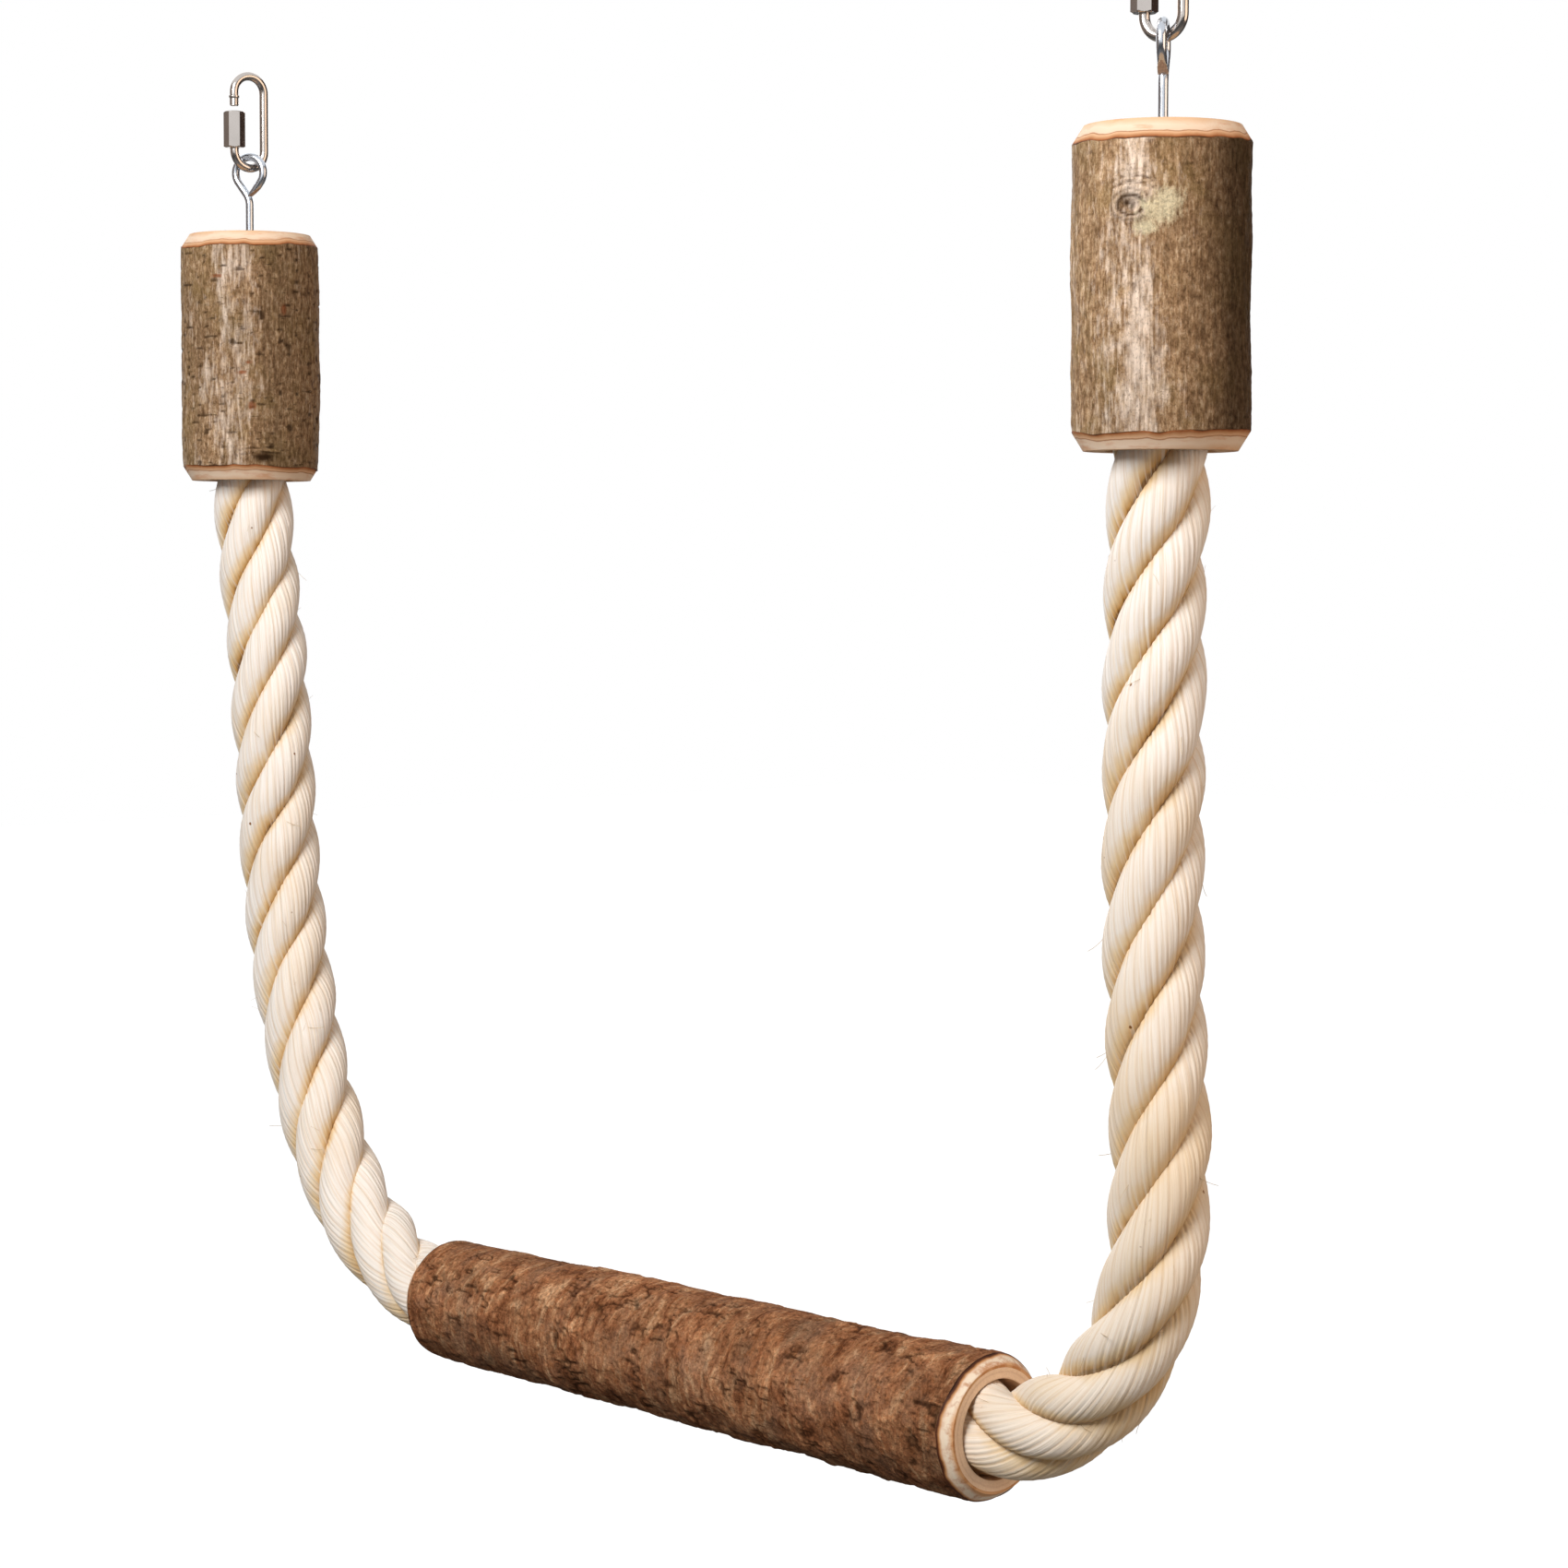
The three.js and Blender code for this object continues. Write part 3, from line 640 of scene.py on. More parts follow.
def laid_fibre_finish(rope):
    """Natural fibre, spun to yarns and laid: satin crowns with fine streaks along the yarns, and gold furrows."""
    material, node, surface = new_finish("laid_natural_fibre")
    along, around, crown, strand, below = (
        node("ShaderNodeAttribute", attribute_name=label)
        for label in ("along", "around", "crown", "strand", "below"))
    across = node("ShaderNodeMath", {0: around, 1: TURN * rope.strand_radius}, operation="MULTIPLY")
    fibre_place = node("ShaderNodeCombineXYZ", {"X": along, "Y": across, "Z": strand})
    place = node("ShaderNodeTexCoord").outputs["Object"]

    # Fibres lie along the yarns: streaks 0.6 mm wide and about 24 mm long
    stretched = node("ShaderNodeMapping", {"Vector": fibre_place, "Scale": (0.025, 1, 1)})
    streak = node(
        "ShaderNodeTexNoise", {"Vector": stretched, "Scale": per_size(0.6), "Detail": 4, "Roughness": 0.65})
    broad = node(
        "ShaderNodeTexNoise", {"Vector": stretched, "Scale": per_size(1.8), "Detail": 2, "Roughness": 0.5})
    yarn_turn = node("ShaderNodeMath", {0: around, 1: rope.yarns}, operation="MULTIPLY")
    yarn_share = node("ShaderNodeMath", {0: yarn_turn, 1: 1}, operation="PINGPONG")
    cloud = node("ShaderNodeTexNoise", {"Vector": place, "Scale": per_size(16), "Detail": 3, "Roughness": 0.6})

    # From the furrow between strands to the crown. Painted shade: the furrows are darker and gold, and so is the
    # underside of each strand, as if lit from above.
    wavered = node("ShaderNodeMath", {0: cloud, 1: 0.7, 2: crown}, operation="MULTIPLY_ADD")
    centred = node("ShaderNodeMath", {0: wavered, 1: 0.38}, operation="SUBTRACT")
    painted_shade_place = node("ShaderNodeMath", {0: below, 1: -0.5, 2: centred}, operation="MULTIPLY_ADD")
    ground = node(
        "ShaderNodeValToRGB", {"Fac": painted_shade_place},
        stops=((0.0, "#6A4420"), (0.12, rope.furrow), (0.4, rope.flank), (0.74, rope.crown)))
    streaked = overlay(node, ground, streak, (0.5, 0.7), (0, 0.6), "#DDBE92")
    paled = overlay(node, streaked, broad, (0.52, 0.7), (0, 0.5), "#FDF8F0")

    # Long tan stretches, and more tan along the rope's lower right run, most from 0.66 to 0.86 m along it
    stretch = node("ShaderNodeTexNoise", {"Vector": place, "Scale": per_size(48), "Detail": 2, "Roughness": 0.5})
    tan_share = node("ShaderNodeMapRange", {"Value": stretch, 1: 0.46, 2: 0.66, 3: 0.0, 4: 0.32})
    lower_right_tan = node(
        "ShaderNodeValToRGB", {"Fac": along},
        stops=((0.3, "#000000"), (0.66, "#9A9A9A"), (0.86, "#9A9A9A"), (1.0, "#000000")))
    tan = node("ShaderNodeMath", {0: tan_share, 1: lower_right_tan}, operation="ADD")
    tanned = node("ShaderNodeMix", {0: tan, 6: paled, 7: "#E6C79B"}, data_type="RGBA")
    # Painted shade: a darker tan line in the grooves between yarns
    groove_shaded = overlay(node, tanned, yarn_share, (0, 0.35), (0.3, 0), "#CDA473")

    # A few dark bits of husk, about 1 mm across
    husk = node("ShaderNodeTexVoronoi", {"Vector": place, "Scale": per_size(5.5)})
    husk_near = node("ShaderNodeMapRange", {"Value": husk, 1: 0.09, 2: 0.13, 3: 1.0, 4: 0.0})
    husk_kind = node("ShaderNodeSeparateColor", {"Color": husk.outputs["Color"]})
    husk_rare = node("ShaderNodeMath", {0: husk_kind, 1: 0.93}, operation="GREATER_THAN")
    husk_share = node("ShaderNodeMath", {0: husk_near, 1: husk_rare}, operation="MULTIPLY")
    flecked = node("ShaderNodeMix", {0: husk_share, 6: groove_shaded, 7: "#8A5A2C"}, data_type="RGBA")
    height = node("ShaderNodeMath", {0: broad, 1: 1.6, 2: streak}, operation="MULTIPLY_ADD")
    bump = node("ShaderNodeBump", {"Strength": 0.5, "Distance": 0.0005, "Height": height})
    surface({"Base Color": flecked, "Normal": bump, "Roughness": 0.55, "Specular IOR Level": 0.15})
    return material


def loose_fibre_finish():
    """Single natural fibres that have worked loose: pale, thin and a little glossy."""
    material, node, surface = new_finish("loose_natural_fibre")
    place = node("ShaderNodeTexCoord").outputs["Object"]
    tone = node("ShaderNodeTexNoise", {"Vector": place, "Scale": per_size(9)})
    colour = node("ShaderNodeValToRGB", {"Fac": tone}, stops=((0.35, "#B8935C"), (0.65, "#E2CBA2")))
    surface({"Base Color": colour, "Roughness": 0.45})
    return material


class SWING_OT_rope(bpy.types.Operator):
    """Lays the rope along its route, from one cap through the perch to the other"""

    bl_idname = "swing.rope"
    bl_label = "Rope"

    SEAM_RUN = 197
    MOUTH_BEND = (150, 215)
    FLEX_BEND = (334, 414)
    PATH_POINTS = 36

    def execute(self, context):
        rope = context.scene.swing_rope
        line = RopeLine(rope.diameter / MM / 2)
        tree = rope_tree(laid_fibre_finish(rope), loose_fibre_finish())
        whole = line.lengths[-1]
        in_bore, mouth = line.stations[1:3]
        seam = in_bore + self.SEAM_RUN

        for side, start, end, seed in (("left", 0, in_bore, 1), ("right", whole - in_bore, whole, 2)):
            stub = rope_piece(f"{side}_rope_end_fibre", line, start, end, tree, rope, seed)
            seat(stub, f"{side}_end", "rope_fibre", f"{side}_rope_end")

        mouth_high, mouth_low = self.MOUTH_BEND
        flex_high, flex_low = self.FLEX_BEND
        for name, start, end, leave, bodies, heights, nodes, seed in (
            ("left_rope_upper", in_bore, seam, mouth, ("left_end", "left_leg"), (mouth_high, mouth_low),
             ("left_rope_leg",), 3),
            ("left_rope_lower", seam, line.mid_perch, seam, ("left_leg", "perch_rope"), (flex_high, flex_low),
             ("left_rope_bend", "perch_rope"), 4),
            ("right_rope_lower", line.mid_perch, whole - seam, whole - seam, ("perch_rope", "right_leg"),
             (flex_low, flex_high), ("right_rope_bend", "perch_rope"), 5),
            ("right_rope_upper", whole - seam, whole - in_bore, whole - mouth, ("right_leg", "right_end"),
             (mouth_low, mouth_high), ("right_rope_leg",), 6),
        ):
            piece = rope_piece(name, line, start, end, tree, rope, seed)
            first, last = (Vector((0, 0, -height * MM)) for height in heights)
            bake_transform(piece, *bodies, start=first, end=last)
            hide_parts(*nodes)
        return {"FINISHED"}


# Logs


class LogShape:
    """A log along its own axis, from 0 to its length, with bark, two chamfered ends and hollows at both ends."""

    CHAMFER_SHARES = (0, 0.3, 0.55, 0.75, 0.86, 0.95)
    EDGE_ROUNDS = 24
    EDGE_EASE = 0.4
    LEAST_EDGE, MOST_EDGE = 0.8, 2.2
    EDGE_FADE = 2.5
    SANDED_REACH = 9
    SHARP = 38

    def __init__(self, length, radii, bark, chamfer, mesh_size, tear_seed):
        self.length, self.radii, self.bark, self.tear_seed = length, radii, bark, tear_seed
        self.chamfer_length, self.chamfer_depth = chamfer
        self.slope = self.chamfer_depth / self.chamfer_length
        self.around, self.rows = mesh_size
        self.theta = np.arange(self.around) / self.around * TURN
        self.rings, self.strips = [], []
        self.values = {"relief": [], "crack": [], "from_bark": [], "ring": []}

    def radius_at(self, height):
        """The log's radius without its bark's relief."""
        first, last = self.radii
        return first + (last - first) * height / self.length

    def end_radius(self, at_top):
        """The radius of the flat end inside the chamfer."""
        return self.radius_at(self.length if at_top else 0.0) - self.chamfer_depth

    def sanded(self, relief):
        """The relief as the sander leaves it, averaged round the log."""
        return np.mean([np.roll(relief, i) for i in range(-self.SANDED_REACH, self.SANDED_REACH + 1)], axis=0)

    def bark_edge(self, at_top):
        """Where the sanded chamfer meets the uneven bark, as a distance from that end for each angle."""
        edge = np.full(self.around, float(self.chamfer_length))
        for _ in range(self.EDGE_ROUNDS):
            height = self.length - edge if at_top else edge
            relief = self.sanded(self.bark(self.theta, height)[0])
            wanted = (self.radius_at(height) + relief - self.end_radius(at_top)) / self.slope
            eased = (1 - self.EDGE_EASE) * edge + self.EDGE_EASE * wanted
            edge = np.clip(eased, self.LEAST_EDGE, self.MOST_EDGE * self.chamfer_length)
        u, seed = self.theta / TURN, self.tear_seed + 2 * at_top
        torn = 0.55 * lattice(u, 0 * u, 11, 1, seed) + 0.35 * lattice(u, 0 * u, 37, 1, seed + 1)
        return np.maximum(edge + torn, self.LEAST_EDGE), relief

    def row(self, height, radius, strip=WOOD, relief=0.0, crack=0.0, from_bark=FAR_FROM_BARK):
        """Adds a ring of points. strip is the material of the faces from this ring to the next."""
        self.rings.append((radius, height))
        self.strips.append(strip)
        for label, value in (("relief", relief), ("crack", crack), ("from_bark", from_bark), ("ring", radius)):
            self.values[label].append(np.broadcast_to(value, self.around))

    def chamfer(self, edge, at_top):
        """The rings of one chamfer, in the order from foot to top."""
        for share in reversed(self.CHAMFER_SHARES) if at_top else self.CHAMFER_SHARES:
            height = self.length - edge * share if at_top else edge * share
            gap = (1 - share) * edge * math.hypot(1, self.slope)
            self.row(height, self.end_radius(at_top) + self.slope * edge * share, from_bark=gap)

    def side(self):
        """The chamfer at the foot, the bark and the chamfer at the top."""
        (low, low_relief), (high, high_relief) = self.bark_edge(False), self.bark_edge(True)
        self.chamfer(low, False)
        for share in np.linspace(0, 1, self.rows):
            height = low + (self.length - high - low) * share
            relief, crack = self.bark(self.theta, height)
            for gap, edge_relief in ((height - low, low_relief), (self.length - high - height, high_relief)):
                own = np.clip(gap / self.EDGE_FADE, 0, 1)
                relief = relief * own + edge_relief * (1 - own)
            self.row(height, self.radius_at(height) + relief, BARK, relief, crack, from_bark=0.0)
        self.strips[-1] = WOOD
        self.chamfer(high, True)

    def piece(self, name, place, materials, joined=False):
        """The mesh object. place turns the points to the row frame; joined joins the last ring to the first."""
        used = np.repeat(self.strips if joined else self.strips[:-1], self.around).tolist()
        if not joined:
            used += [self.strips[0], self.strips[-1]]
        faces = ring_faces(len(self.rings), self.around, joined)
        values = {label: np.concatenate(rows) for label, rows in self.values.items()}
        return new_piece(name, place(lathe(self.rings, self.around)), faces, materials, self.SHARP, used, values)


def knot(across, up):
    """The relief and the darkness of an old knot: a ringed eye under level folds, with a painted shadow under the
    eye's upper rim.
    """
    gap = np.hypot(across, up * 1.35)
    folds = bell((up - 7) / 3.4, across / 7)
    lines = np.cos((up + 0.04 * across ** 2 - 8.6) * TURN / 2)
    # The slit is the knot's crack; the bell beside it is a painted shadow under the eye's upper rim
    slit, rim_shadow = bell(across / 0.8, (up + 0.3) / 1.5), bell((across + 1.5) / 1.3, (up - 0.6) / 0.9)
    rings = np.clip(bell((gap - 3.9) / 0.75) + 0.6 * bell((gap - 6.1) / 0.6), 0, 1)
    relief = 0.8 * bell((gap - 5) / 2.4) - 1.3 * bell(gap / 2.8) - 0.3 * folds * lines
    return relief, np.max([slit, rim_shadow, rings, 0.7 * folds * np.clip(lines, 0, 1)], axis=0)


def collar(across, up):
    """The relief and the darkness of an old branch collar: a dark stump under level folds."""
    folds = bell(across / 9, (up - 4.2) / 2.6)
    lines = np.cos((up + 0.01 * across ** 2 - 5.3) * TURN / 1.9)
    stump = np.clip(1.3 * bell(across / 4.2, (up - 1.7) / 1.9), 0, 1)
    return folds * (0.5 - 0.35 * lines), np.maximum(stump, 0.9 * folds * np.clip(lines, 0, 1))


class CapLook(NamedTuple):
    """What sets one cap's bark apart. Angles are degrees round the cap, heights millimetres above its foot."""

    seed: int
    tear_seed: int
    tone: float
    dashes: float
    lenticel_floor: float
    branch: object
    branch_turn: float
    branch_height: float
    # Where round the cap the painted highlight band and the painted shade lie, and how deep the shade is
    highlight_turn: float
    shade_turn: float
    shade_depth: float
    mark_colour: str
    marks: tuple


# Each mark has an angle, a height and two half sizes: red bruises on the left, a rubbed patch on the right
CAP_LOOKS = {
    "left": CapLook(
        seed=11, tear_seed=31, tone=1.03, dashes=0.75, lenticel_floor=0.64,
        branch=collar, branch_turn=-24, branch_height=7,
        highlight_turn=-48, shade_turn=-10, shade_depth=0.5, mark_colour="#94532F",
        marks=((-33, 29, 1.9, 2.1), (-41, 42, 2.8, 1), (-36, 46, 2, 0.8), (-5, 67, 1.6, 3), (-62, 80, 3.2, 1))),
    "right": CapLook(
        seed=47, tear_seed=61, tone=1.22, dashes=0.25, lenticel_floor=0.88,
        branch=knot, branch_turn=-67, branch_height=72,
        highlight_turn=-64, shade_turn=18, shade_depth=1.75, mark_colour="#D8C9A6",
        marks=((-49, 70.5, 7.5, 6), (-44, 73, 6, 5.5), (-58, 65.5, 5, 3))),
}


def cap_bark(look, theta, height):
    """A cap's smooth bark, in millimetres: slow bulges, upright furrows, fine wrinkles and one old branch."""
    u, v, seed = theta / TURN, height / CAP_LENGTH, look.seed
    bulge = 0.55 * lattice(u, v, 5, 2, seed) + 0.3 * lattice(u, v, 9, 5, seed + 1)
    furrow = 0.2 * lattice(u, v, 34, 5, seed + 2) + 0.2 * lattice(u, v, 74, 12, seed + 3)
    grain = 0.12 * lattice(u, v, 120, 62, seed + 4)
    lenticel = np.clip((lattice(u, v, 44, 70, seed + 5) - look.lenticel_floor) / 0.15, 0, 1)
    across = off_turn(u * 360, look.branch_turn) * TURN / 360 * CAP_FOOT_RADIUS
    branch, dark = look.branch(across, height - look.branch_height)
    return bulge + furrow + grain - 0.3 * lenticel + branch, np.maximum(0.8 * lenticel, dark)


def cap_bark_finish(name, look):
    """Smooth bark of a young stem, dried: warm grey-brown, with upright wrinkles, pale patches, a painted
    highlight band and a painted shade on one side.
    """
    material, node, surface = new_finish(name)
    place = node("ShaderNodeTexCoord").outputs["Object"]
    upright, level, tall = (
        node("ShaderNodeMapping", {"Vector": place, "Scale": scale})
        for scale in ((1, 1, 0.12), (0.3, 0.3, 1.4), (1, 1, 0.55)))
    relief, crack, painted_light_and_shade, mark = (
        node("ShaderNodeAttribute", attribute_name=label) for label in ("relief", "crack", "painted_light_and_shade", "mark"))

    # Mottled ground under olive growth
    mottle = node("ShaderNodeTexNoise", {"Vector": tall, "Scale": per_size(1.6), "Detail": 6, "Roughness": 0.75})
    ground = node(
        "ShaderNodeValToRGB", {"Fac": mottle},
        stops=((0.34, "#664B33"), (0.46, "#8F6F50"), (0.56, "#AE8D6B"), (0.7, "#D0B698")))
    moss = node("ShaderNodeTexNoise", {"Vector": place, "Scale": per_size(18), "Detail": 4, "Roughness": 0.6})
    olive = overlay(node, ground, moss, (0.48, 0.66), (0, 0.4), "#8C7547")

    # Upright wrinkles about 1 mm apart, and pale streaks along them: partly pale patches of the outer skin,
    # partly a painted highlight band on the side towards the lamp
    wrinkle = node(
        "ShaderNodeTexNoise", {"Vector": upright, "Scale": per_size(1.1), "Detail": 4, "Roughness": 0.6})
    patch = node("ShaderNodeTexNoise", {"Vector": tall, "Scale": per_size(9), "Detail": 6, "Roughness": 0.7})
    wear_and_highlight = node("ShaderNodeMath", {0: painted_light_and_shade, 1: 0.2, 2: patch}, operation="MULTIPLY_ADD")
    streak = node("ShaderNodeMath", {0: wrinkle, 1: 0.6, 2: wear_and_highlight}, operation="MULTIPLY_ADD")
    paled = overlay(node, olive, streak, (0.84, 1.1), (0, 0.8), "#E4D0BE")
    wrinkled = toned(node, paled, wrinkle, (0.34, 0.66), (0.75, 1.2))

    # Dark grit and short level dashes
    grit = node("ShaderNodeTexNoise", {"Vector": place, "Scale": per_size(0.9), "Detail": 4, "Roughness": 0.7})
    gritty = overlay(node, wrinkled, grit, (0.53, 0.7), (0, 0.6), "#4B3521")
    dash = node("ShaderNodeTexNoise", {"Vector": level, "Scale": per_size(1.6), "Detail": 3, "Roughness": 0.6})
    dash_share = node("ShaderNodeMapRange", {"Value": dash, 1: 0.64, 2: 0.72, 3: 0.0, 4: look.dashes})
    dark = node("ShaderNodeMath", {0: dash_share, 1: crack}, operation="MAXIMUM")
    dashed = node("ShaderNodeMix", {0: dark, 6: gritty, 7: "#3C2817"}, data_type="RGBA")

    # The marks of this cap, with ragged edges and an uneven tone
    ragged = node("ShaderNodeMath", {0: mottle, 1: 1.6, 2: mark}, operation="MULTIPLY_ADD")
    mark_look = toned(node, linear(look.mark_colour)[:3], grit, (0.35, 0.68), (1.1, 0.55))
    marked = overlay(node, dashed, ragged, (1.2, 1.65), (0, 0.85), mark_look)

    # Hollows are darker, and a painted shade darkens the side away from the lamp
    pitted = toned(node, marked, relief, (-0.9, 0.9), (0.74 * look.tone, 1.14 * look.tone))
    side_shaded = toned(node, pitted, painted_light_and_shade, (-1.5, 0), (0.24, 1))
    height = node("ShaderNodeMath", {0: mottle, 1: 0.9, 2: wrinkle}, operation="MULTIPLY_ADD")
    bump = node("ShaderNodeBump", {"Strength": 0.8, "Distance": 0.0008, "Height": height})
    surface({"Base Color": side_shaded, "Normal": bump, "Roughness": 0.6, "Specular IOR Level": 0.04})
    return material


def sawn_wood_finish(name, wood, stops, stain_colour, stain_size, stain_reach, stain_stretch):
    """Wood, sawn across and sanded at the edge: growth rings, pale sapwood and the inner bark's brown line."""
    material, node, surface = new_finish(name)
    place = node("ShaderNodeTexCoord").outputs["Object"]
    from_bark, ring = (node("ShaderNodeAttribute", attribute_name=label) for label in ("from_bark", "ring"))
    waver = node("ShaderNodeTexNoise", {"Vector": place, "Scale": per_size(7), "Detail": 3, "Roughness": 0.6})
    saw = node("ShaderNodeTexNoise", {"Vector": place, "Scale": per_size(0.8), "Detail": 3, "Roughness": 0.6})

    # Growth rings 2.1 mm apart
    drift = node("ShaderNodeMath", {0: waver, 1: 1.6, 2: ring}, operation="MULTIPLY_ADD")
    ring_turn = node("ShaderNodeMath", {0: drift, 1: TURN / 2.1}, operation="MULTIPLY")
    ring_wave = node("ShaderNodeMath", {0: ring_turn}, operation="SINE")
    ringed = overlay(node, wood, ring_wave, (0.2, 1), (0, 0.22), "#C08A5C")
    sawn = overlay(node, ringed, saw, (0.4, 0.75), (0, 0.2), "#B98458")

    # From the bark's edge inwards, over about 8 mm of chamfer, with stains that keep off the edge itself
    edge_drift = node("ShaderNodeMath", {0: waver, 1: 1.5, 2: -0.75}, operation="MULTIPLY_ADD")
    edge = node("ShaderNodeMath", {0: from_bark, 1: edge_drift}, operation="ADD")
    edge_share = node("ShaderNodeMath", {0: edge, 1: 8.0}, operation="DIVIDE")
    chamfer = node("ShaderNodeValToRGB", {"Fac": edge_share}, stops=stops)
    round_rim = node("ShaderNodeMapping", {"Vector": place, "Scale": stain_stretch})
    stain = node(
        "ShaderNodeTexNoise",
        {"Vector": round_rim, "Scale": per_size(stain_size), "Detail": 4, "Roughness": 0.6})
    stain_share = node(
        "ShaderNodeMapRange", {"Value": stain, 1: stain_reach[0], 2: stain_reach[1], 3: 0.0, 4: 0.75})
    inwards = node("ShaderNodeMapRange", {"Value": edge, 1: 1.2, 2: 3.2})
    stain_part = node("ShaderNodeMath", {0: stain_share, 1: inwards}, operation="MULTIPLY")
    stained = node("ShaderNodeMix", {0: stain_part, 6: chamfer, 7: stain_colour}, data_type="RGBA")
    on_chamfer = node("ShaderNodeMath", {0: from_bark, 1: FAR_FROM_BARK - 0.1}, operation="LESS_THAN")
    colour = node("ShaderNodeMix", {0: on_chamfer, 6: sawn, 7: stained}, data_type="RGBA")
    bump = node("ShaderNodeBump", {"Strength": 0.25, "Distance": 0.0003, "Height": saw})
    surface({"Base Color": colour, "Normal": bump, "Roughness": 0.62, "Specular IOR Level": 0.2})
    return material


class SWING_OT_caps(bpy.types.Operator):
    """Makes the two bark caps, each with its eye's hole above and the rope's bore below"""

    bl_idname = "swing.caps"
    bl_label = "Log caps"

    CHAMFER = (5.5, 3.4)
    MESH_SIZE = (240, 124)
    BORE_RADIUS, BORE_TIP, BORE_ROWS = 17.0, 0.5, (40, 25, 12, 4)
    FOOT_RINGS, TOP_RINGS = (19, 21), (20, 16, 12, 8, 4)
    EYE_HOLE_RADIUS, EYE_HOLE_TIP, EYE_HOLE_DEPTH = 1.9, 0.3, 32.3
    DIMPLE_RADIUS, DIMPLE_DEPTH, DIMPLE_RIM = 3.9, 1.1, 0.5
    DIMPLE_NEAR, DIMPLE_RISE = 2, 3
    WORN_SPREAD, DARK_SPREAD = 17, 42

    def execute(self, context):
        wood = sawn_wood_finish(
            "sawn_sapwood_of_the_caps", context.scene.swing_logs.cap_wood,
            ((0.0, "#4A2E1A"), (0.07, "#A8663A"), (0.18, "#CF9B70"), (0.27, "#E2B690"), (0.31, "#A9714A"),
             (0.36, "#EBCDB0"), (0.6, "#F1D6BC"), (0.85, "#E6BE98")),
            stain_colour="#DDA47A", stain_size=2.4, stain_reach=(0.5, 0.66), stain_stretch=(0.22, 0.22, 1))
        for side, x in PLACES.items():
            look = CAP_LOOKS[side]
            shape = LogShape(
                CAP_LENGTH, (CAP_FOOT_RADIUS, CAP_TOP_RADIUS), partial(cap_bark, look), self.CHAMFER,
                self.MESH_SIZE, look.tear_seed)
            shape.row(CAP_BORE_DEPTH, self.BORE_TIP)
            for depth in (CAP_BORE_DEPTH, *self.BORE_ROWS):
                shape.row(depth, self.BORE_RADIUS)
            for radius in (self.BORE_RADIUS, *self.FOOT_RINGS):
                shape.row(0, radius)
            shape.side()
            for radius in (*self.TOP_RINGS, self.EYE_HOLE_RADIUS):
                shape.row(CAP_LENGTH, radius)
            for radius in (self.EYE_HOLE_RADIUS, self.EYE_HOLE_TIP):
                shape.row(CAP_LENGTH - self.EYE_HOLE_DEPTH, radius)
            bark = cap_bark_finish(f"dried_smooth_bark_{side}", look)
            cap = shape.piece(f"{side}_cap_log", partial(self.place, x), [bark, wood])
            self.add_marks(cap, look, x)
            seat(cap, f"{side}_end", "cap_wood", f"{side}_cap")
        return {"FINISHED"}

    def place(self, x, points):
        """Points in the row frame, with a dimple at the back for the head of the cap's screw."""
        rim = np.hypot(points[:, 0], points[:, 2] - CAP_SCREW_RISE)
        floor = CAP_FOOT_RADIUS - self.DIMPLE_DEPTH
        sunk = (points[:, 1] > floor - self.DIMPLE_NEAR) & (rim < self.DIMPLE_RADIUS + self.DIMPLE_RIM)
        depth = np.clip((rim - self.DIMPLE_RADIUS) / self.DIMPLE_RIM, 0, 1)
        y = np.where(sunk, np.minimum(points[:, 1], floor + depth * self.DIMPLE_RISE), points[:, 1])
        return np.column_stack([points[:, 0] + x, y, points[:, 2] + CAP_FOOT])

    def add_marks(self, cap, look, x):
        """Values for the marks of this cap, and for a painted highlight band on the side towards the lamp and a
        painted shade on the side away from it.
        """
        spots = np.empty(len(cap.data.vertices) * 3)
        cap.data.vertices.foreach_get("co", spots)
        spots = spots.reshape(-1, 3) / MM
        turn = np.degrees(np.arctan2(spots[:, 1], spots[:, 0] - x))
        height = spots[:, 2] - CAP_FOOT
        mark = np.zeros(len(turn))
        for degrees, rise, half_width, half_height in look.marks:
            across = off_turn(turn, degrees) * TURN / 360 * CAP_FOOT_RADIUS
            mark = np.maximum(mark, bell(across / half_width, (height - rise) / half_height))
        pale = bell(off_turn(turn, look.highlight_turn) / self.WORN_SPREAD)
        dark = bell(off_turn(turn, look.shade_turn) / self.DARK_SPREAD)
        add_values(cap.data, {"mark": mark, "painted_light_and_shade": pale - look.shade_depth * dark})


def flakes(u, v):
    """The bark's layers, longer along the log than round it. A flake ends where this passes one of its steps."""
    return lattice(u, v, 15, 17, 20) + 0.6 * lattice(u, v, 31, 40, 21) + 0.4 * lattice(u, v, 66, 96, 22)


